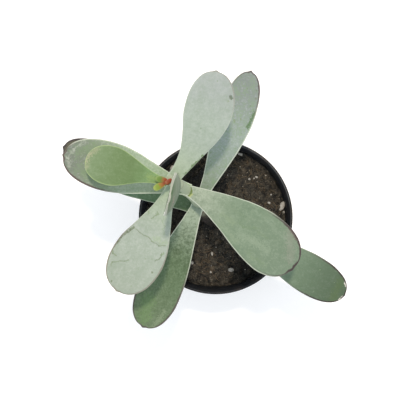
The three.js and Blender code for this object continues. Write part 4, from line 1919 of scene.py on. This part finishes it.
@dataclass(frozen=True)
class Studio:
    """The floor, the lights and the camera.

    Attributes:
        camera_place: Where the camera is.
        lens: Its lens.
        sensor: The width of its sensor.
        nearest: The nearest that it sees.
        key_place: Where the middle of the key light is.
        key_aim: Where the key light points.
        key_size: The key light's width.
        key_power: Its power.
        key_color: Its colour.
        fill_color: The colour of the light from all round.
        fill_strength: Its strength.
        floor_size: The width of the floor.
        floor_drop: How far it lies under the pot.
    """

    camera_place: Triple = (-4.5, 5.43, 556.0)
    lens: float = 71.12
    sensor: float = 36.0
    nearest: float = 10.0
    key_place: Triple = (25.0, 345.0, 1400.0)
    key_aim: Triple = (-10.0, 10.0, 90.0)
    key_size: float = 95.0
    key_power: float = 11.5
    key_color: Triple = (255, 236, 214)
    fill_color: Triple = (236, 239, 243)
    fill_strength: float = 1.2
    floor_size: float = 8000.0
    floor_drop: float = 0.1

    def floor(self) -> None:
        """Lays the floor just under the pot."""
        half = self.floor_size / 2
        corners = [(x, y, -self.floor_drop) for x, y in ((-half, -half), (half, -half), (half, half), (-half, half))]
        mesh = bpy.data.meshes.new("studio_floor")
        mesh.from_pydata([metres(corner) for corner in corners], [], [(0, 1, 2, 3)])
        mesh.materials.append(FloorFinish().material("pale studio floor"))
        linked(bpy.data.objects.new("studio_floor", mesh))

    def lights(self) -> None:
        """Hangs the key light and sets the light from all round."""
        lamp = bpy.data.lights.new("key_softbox", "AREA")
        lamp.shape = "DISK"
        lamp.size = self.key_size * MM
        lamp.energy = self.key_power
        lamp.color = linear(self.key_color)[:3]
        key = linked(bpy.data.objects.new("key_softbox", lamp))
        key.location = metres(self.key_place)
        key.rotation_euler = (metres(self.key_aim) - key.location).to_track_quat("-Z", "Y").to_euler()
        world = bpy.data.worlds.new("studio_air")
        world.use_nodes = True
        background = world.node_tree.nodes["Background"]
        background.inputs["Color"].default_value = linear(self.fill_color)
        background.inputs["Strength"].default_value = self.fill_strength
        bpy.context.scene.world = world

    def camera(self) -> None:
        """Sets the camera straight above the plant."""
        data = bpy.data.cameras.new("overhead_camera")
        data.lens = self.lens
        data.sensor_width = self.sensor
        data.sensor_fit = "HORIZONTAL"
        data.clip_start = self.nearest * MM
        camera = linked(bpy.data.objects.new("overhead_camera", data))
        camera.location = metres(self.camera_place)
        bpy.context.scene.camera = camera

    def place(self) -> None:
        """Sets the whole studio up."""
        self.floor()
        self.lights()
        self.camera()
        bpy.context.scene.view_settings.view_transform = "Standard"


# The numbers of a leaf stand in the order of its fields: its height on the stem and its turn, then
# reach, sideways, rise, bow and arch, then width, widest, foot and taper, then thick, cup, roll and
# twist. Those of a mark are its start and end, radius, colour, strength, ragged, wander and groove.
GROWN_LEAVES: tuple[Leaf, ...] = (
    Leaf(
        "leaf_1_right", 21, -30.1, 88.0, -1.5, 5, 0.0, 3, 23.0, 0.75, 0.22, 1.95, 4.6, 0.1, 5, 8,
        LeafFinish(
            foot=(117, 134, 112), middle=(105, 126, 105), end=(66, 85, 64), flesh=(70, 94, 68),
            thin=0.5, patch_strength=0.25, mottle=0.5, margin=(44, 34, 32), margin_width=1.05, margin_from=0.72,
            margin_strength=0.95, highlight_strength=0.12,
            marks=(
                Mark((82.0, 5.9), (83.5, -5.1), 3.0, (72, 94, 46), 0.4, 1.4),
                Mark((84.6, 6.1), (86.4, 4.8), 0.9, (226, 226, 216), 0.9, 0.6, groove=0.8, face=Face.BOTH),
                Mark((88.0, -0.7), (87.0, -4.3), 0.85, (220, 220, 210), 0.85, 0.7, groove=0.8, face=Face.BOTH),
            ),
        ),
        aside=1.6,
    ),
    Leaf(
        "leaf_1_left", 21, 154.2, 86.2, 1.3, 8, -1.2, 3, 24, 0.66, 0.27, 1.4, 4.6, 0.12, -6, -6,
        LeafFinish(
            foot=(75, 97, 68), middle=(81, 110, 80), end=(96, 108, 86), flesh=(64, 90, 61),
            thin=0.5, margin=(52, 46, 46), margin_width=1.5, margin_from=0.78, margin_strength=0.95,
            highlight_strength=0.3, marks=(Mark((77.0, -7.2), (86.5, -1.0), 8.0, (78, 76, 62), 0.95, 0.3),),
        ),
        aside=-0.8, tip=0.035,
    ),
    Leaf(
        "leaf_2_front", 35, 245.2, 71, 0.5, 12, 0.4, 3, 23.3, 0.73, 0.3, 1.4, 4.6, 0.1, 4, -8,
        LeafFinish(
            foot=(144, 161, 145), middle=(78, 101, 72), end=(85, 104, 77), flesh=(39, 62, 31),
            thin=0.5, patch_scale=430.0, patch_strength=0.6, thin_from=0.18, thin_to=0.52, grain=1.7, bloom=0.2,
            specks=0.25, speck_color=(92, 112, 78),
            margin=(62, 54, 50), margin_width=1.0, margin_from=0.55, margin_strength=0.9,
            marks=(
                Mark((77.0, -1.1), (76.2, 0.2), 1.0, (104, 96, 76), 0.7, 0.9),
                Mark((67.5, -9.0), (68.5, -8.4), 0.7, (98, 92, 76), 0.7, 0.8),
                Mark((62.4, -10.3), (63.0, -10.1), 0.5, (100, 96, 80), 0.7, 0.7),
                Mark((66.0, 1.6), (70.5, -1.5), 1.6, (92, 116, 78), 0.5, 1.4),
                Mark((58.0, -3.4), (66.0, -1.9), 4.6, (86, 122, 66), 0.4, 1.2),
                Mark((60.0, 7.2), (69.0, 5.7), 1.4, (128, 144, 118), 0.35, 1.6, 0.8),
            ),
        ),
        tip=0.03,
    ),
    Leaf(
        "leaf_2_back", 35, 68, 72.7, 0.3, 18, -1.5, 3, 19.7, 0.67, 0.27, 1.5, 4.4, 0.14, -6, 6,
        LeafFinish(
            foot=(116, 131, 115), middle=(133, 147, 143), end=(109, 119, 118), thin=0.4, grain=1.8,
            margin=(62, 48, 52), margin_width=1.05, margin_from=0.76, margin_strength=0.9, margin_side=-0.8,
            specks=0.22, speck_color=(98, 118, 90),
            marks=(
                Mark((47.6, -8.1), (55.6, -9.0), 1.2, (74, 104, 66), 0.85, 1.0),
                Mark((47.8, -0.5), (48.3, -0.1), 0.7, (112, 130, 100), 0.7, 0.8),
                Mark((49.8, -3.3), (50.2, -3.0), 0.5, (112, 130, 100), 0.6, 0.6),
                Mark((50.0, 1.1), (50.4, 1.2), 0.5, (118, 134, 108), 0.6, 0.6),
                Mark((62.4, -6.7), (62.8, -6.9), 0.6, (102, 112, 96), 0.7, 0.7),
            ),
        ),
        tip=0.05,
    ),
    Leaf(
        "leaf_3_right", 50, -36, 69.3, -1.0, 17.8, 3.85, 2, 28.8, 0.75, 0.2, 1.4, 4.6, 0.08, -3, 5,
        LeafFinish(
            foot=(155, 167, 151), middle=(105, 125, 104), end=(99, 118, 99), flesh=(86, 108, 87),
            thin=0.45, grain=0.85, mottle=1.2, bloom=0.27, specks=0.05, speck_color=(96, 118, 90),
            margin=(42, 26, 30), margin_width=1.35, margin_from=0.65, margin_strength=0.95, margin_side=0.5,
            marks=(
                Mark((58.0, 12.0), (67.5, 2.8), 2.6, (134, 126, 124), 0.2, 1.3),
                *Mark.trail(
                    ((35.5, -0.6), (39.1, -0.7), (43.5, 1.6), (45.1, 2.3)), 0.8, (92, 116, 88), 0.55, 0.9, 1.0
                ),
                *Mark.trail(((46.6, 1.6), (49.4, 1.9), (51.8, 1.7)), 0.7, (92, 116, 88), 0.5, 0.9, 0.8),
                Mark((26.0, -2.3), (33.0, -3.3), 1.8, (120, 140, 112), 0.4, 1.6, 1.0),
                Mark((22.0, 3.5), (37.0, 2.8), 2.4, (90, 114, 88), 0.35, 1.5, 1.2),
                Mark((40.0, -5.7), (56.0, -2.0), 2.2, (126, 144, 124), 0.4, 1.4, 1.2),
                Mark((27.0, -7.4), (41.0, -9.8), 1.5, (126, 144, 120), 0.3, 1.6, 1.4),
                Mark((50.2, -10.2), (60.0, -9.4), 1.6, (92, 118, 84), 0.35, 1.8, 1.5),
                Mark((54.0, 14.4), (62.5, 11.6), 0.55, (64, 40, 46), 0.55, 1.2, 0.4, face=Face.BOTH),
                # Painted shade: the dark crescent in the axil where the leaf's foot meets the stem, in this trail and
                # the mark after it.
                *Mark.trail(
                    ((3.3, 1.8), (4.5, 0.4), (4.9, -1.0), (4.4, -2.5), (3.6, -3.9)),
                    0.6, (88, 108, 50), 0.85, 0.3, 0.1,
                ),
                Mark((4.5, -0.1), (4.7, -1.3), 0.95, (92, 112, 54), 0.6, 0.3),
                Mark((5.7, -1.2), (5.2, -2.8), 0.7, (170, 180, 104), 0.5, 0.5),
            ),
        ),
        start=-1.5, tip=0.015,
    ),
    Leaf(
        "leaf_3_left", 50, 163.3, 64.5, 1.6, 27.2, -0.5, 2, 25.5, 0.67, 0.26, 1.55, 4.4, 0.12, 4, -5,
        LeafFinish(
            foot=(138, 156, 126), middle=(150, 167, 146), end=(97, 106, 97), thin=0.3, mottle=1.2, grain=1.7,
            highlight_width=0.65, highlight_strength=0.5, margin_side=0.9,
            margin=(66, 48, 46), margin_width=1.05, margin_from=0.62, margin_strength=0.9,
            marks=(
                Mark((62.7, -3.1), (56.5, -8.2), 3.0, (112, 136, 100), 0.4, 0.7),
                Mark((58.0, 6.2), (47.0, 9.6), 3.2, (108, 134, 96), 0.45, 0.7),
                *Mark.trail(
                    ((62.4, -8.9), (66.0, -4.1), (67.6, 0.7), (66.2, 5.3)), 1.0, (172, 180, 168), 0.3, 1.4, 1.0
                ),
            ),
        ),
        start=-1.2, aside=-0.7, tip=0.035,
    ),
    Leaf(
        "leaf_4_back", 64, 69, 54, -2.8, 34, -4.4, 2, 23.7, 0.7, 0.3, 2.0, 4.2, 0.1, 4, -6,
        LeafFinish(
            foot=(164, 180, 157), middle=(152, 165, 155), end=(146, 155, 153), flesh=(126, 143, 124),
            thin=0.4, mottle=0.8, rim=(178, 188, 174), margin=(98, 90, 82), margin_width=0.6, margin_from=0.76,
            margin_strength=0.55, margin_side=-0.9, highlight_strength=0.35, specks=0.03,
            marks=(
                # Painted shade: the dark line in the gap between this leaf's foot and the upright leaf.
                Mark((5.2, -0.1), (2.0, -0.8), 0.45, (86, 104, 78), 0.7, 0.4),
                Mark((53.3, -9.3), (54.0, -8.9), 0.9, (90, 104, 84), 0.85, 0.9, groove=0.6),
                Mark((51.4, -8.1), (51.6, -8.3), 0.5, (128, 142, 118), 0.6, 0.7),
                *Mark.trail(
                    ((7.0, -3.5), (11.0, -4.0), (15.5, -5.0), (21.0, -6.2)), 0.9, (76, 106, 52), 0.85, 1.0, 0.4
                ),
            ),
        ),
        aside=3.4, tip=0.03,
    ),
    Leaf(
        "leaf_4_front", 64, 241, 58.2, 2.8, 24, 2.1, 2, 26.5, 0.705, 0.2, 1.7, 4.2, 0.07, -3, 6,
        LeafFinish(
            foot=(153, 171, 147), middle=(145, 157, 148), end=(135, 147, 136), flesh=(119, 136, 119),
            thin=0.45, mottle=0.85, specks=0.08, rim=(176, 188, 170),
            margin=(102, 92, 84), margin_width=0.75, margin_from=0.5, margin_strength=0.7,
            marks=(
                *Mark.trail(
                    ((31.8, -9.2), (32.2, -5.7), (32.5, -0.1), (33.3, 2.0), (33.7, 6.2), (32.2, 9.2)),
                    0.3, (116, 134, 102), 0.62, 0.7, 0.4, 0.8,
                ),
                Mark((31.6, 2.3), (31.0, 8.6), 1.4, (136, 158, 122), 0.35, 1.5, 0.8),
                *Mark.trail(((41.6, 8.3), (38.8, 9.7), (36.1, 9.3)), 0.3, (104, 124, 92), 0.65, 0.6, 0.5, 0.8),
                Mark((37.3, 9.5), (36.0, 10.1), 0.7, (104, 128, 92), 0.6, 0.8),
                *Mark.trail(
                    ((30.6, -8.9), (33.3, -9.8), (35.3, -10.6), (38.8, -11.6), (42.0, -12.4), (45.5, -13.2)),
                    0.5, (96, 112, 78), 0.6, 1.6, 0.5, 0.8,
                ),
                *Mark.trail(((46.5, -13.0), (48.6, -11.6), (49.0, -9.4)), 0.34, (108, 126, 94), 0.65, 0.7, 0.5, 0.6),
                *Mark.trail(
                    ((54.5, -8.9), (52.5, -9.3), (49.0, -4.7), (47.5, -3.2)), 0.32, (112, 130, 100), 0.65, 0.5, 0.4, 0.6
                ),
                Mark((46.7, 9.7), (47.0, 9.9), 0.5, (92, 106, 80), 0.8, 0.6),
                Mark((60.6, -4.8), (61.0, -4.6), 0.5, (92, 106, 80), 0.8, 0.6),
                Mark((18.6, -1.7), (23.0, -3.5), 0.4, (108, 128, 92), 0.6, 0.8, 1.2, 0.5),
                Mark((18.4, -5.5), (21.5, -6.4), 0.5, (108, 128, 92), 0.55, 0.9, 1.0),
                Mark((20.0, 2.9), (27.5, 5.6), 0.4, (118, 138, 104), 0.45, 0.9, 1.4),
            ),
        ),
        aside=-2.5, tip=0.02,
    ),
    Leaf(
        "leaf_5_left", 76, 168, 40.5, -2.3, 10, -0.9, 2, 19.6, 0.69, 0.2, 2.1, 3.6, 0.08, 5, 8,
        LeafFinish(
            foot=(119, 155, 106), middle=(90, 115, 72), end=(104, 126, 92), flesh=(80, 105, 60),
            thin=0.4, mottle=0.6, specks=0.04, rim=(170, 192, 128), highlight_width=0.45, highlight_strength=0.45,
            margin_strength=0.0,
            marks=(
                Mark((38.0, -5.5), (38.9, -5.1), 0.45, (104, 124, 88), 0.7, 0.6),
                Mark((9.0, 0.3), (5.0, 0.4), 2.4, (150, 164, 92), 0.28, 1.2),
                *Mark.trail(
                    ((37.5, -6.4), (40.6, -3.3), (41.4, 0.0), (40.6, 3.1)), 1.6, (160, 156, 132), 0.3, 1.2, 0.4
                ),
            ),
        ),
        aside=1.5, tip=0.0,
    ),
    Leaf(
        "leaf_5_upright", 76, 344, 2.0, -8.5, 50, -1, -1.4, 20, 0.66, 0.3, 1.4, 4.3, 0.2, 0, 5,
        LeafFinish(
            foot=(62, 90, 50), middle=(65, 92, 57), end=(71, 92, 65), flesh=(54, 81, 45),
            rim=(206, 206, 196), highlight_width=0.35, highlight_strength=0.4, margin_strength=0.0,
            marks=(
                *Mark.trail(((36.0, 9.8), (43.0, 7.4), (48.0, 3.6)), 1.6, (88, 106, 76), 0.55, 0.5, 0.0),
                # Painted highlight: the pale strip along the rounded margin that faces the light.
                *Mark.trail(
                    ((49.6, 1.5), (48.6, -2.5), (45.5, -6.6), (41.0, -9.2)), 1.5, (206, 208, 200), 0.85, 0.5, 0.3
                ),
                Mark((47.2, 0.5), (44.6, -4.6), 1.0, (120, 98, 88), 0.45, 0.9, 0.4, face=Face.LOWER),
                Mark((46.2, -1.5), (46.0, -1.9), 0.5, (110, 62, 72), 0.8, 0.4, face=Face.LOWER),
            ),
        ),
        start=2.4, tip=0.02, wave=0.12,
    ),
)

BUD_LEAVES: tuple[Leaf, ...] = (
    Leaf(
        "bud_leaf_1", 79.2, 211, 6.9, 0, 4.4, 0, 0.6, 3.3, 0.7, 0.42, 1.2, 2.4, 0.1, 0, 0,
        TipFinish((138, 68, 42), (150, 108, 52), (118, 140, 48), (150, 162, 92), 0.25, 0.7),
        wave=0.05, uneven=0.1,
    ),
    Leaf(
        "bud_leaf_2", 79.2, 173, 4.9, 0, 4.2, 0, 0.6, 3.2, 0.62, 0.6, 1.2, 2.0, 0.1, 0, 0,
        TipFinish((166, 76, 54), (150, 116, 68), (104, 132, 66), (124, 146, 84), 0.15, 0.65),
        wave=0.05, uneven=0.14,
    ),
    Leaf(
        "bud_heart", 77.6, 205, 3.2, 0.6, 2.9, 0, 0.2, 2.5, 0.5, 0.8, 1.0, 2.8, 0.0, 0, 0,
        TipFinish((138, 62, 44), (142, 76, 50), (142, 92, 60), (146, 92, 66), 0.35, 1.0),
        start=-0.6, wave=0.0, uneven=0.2,
    ),
)


def main() -> None:
    """Loads the frame, dresses the pot, its soil and the plant, and sets the studio up."""
    logging.basicConfig(level=logging.INFO, format="%(message)s")
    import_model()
    Studio().place()
    piece = Piece()
    line = StemLine()
    pot = Pot()
    pot.place(piece)
    Soil(pot, line.foot).place(piece)
    Plant(line, GROWN_LEAVES, BUD_LEAVES).place(piece)


if __name__ == "__main__":
    main()
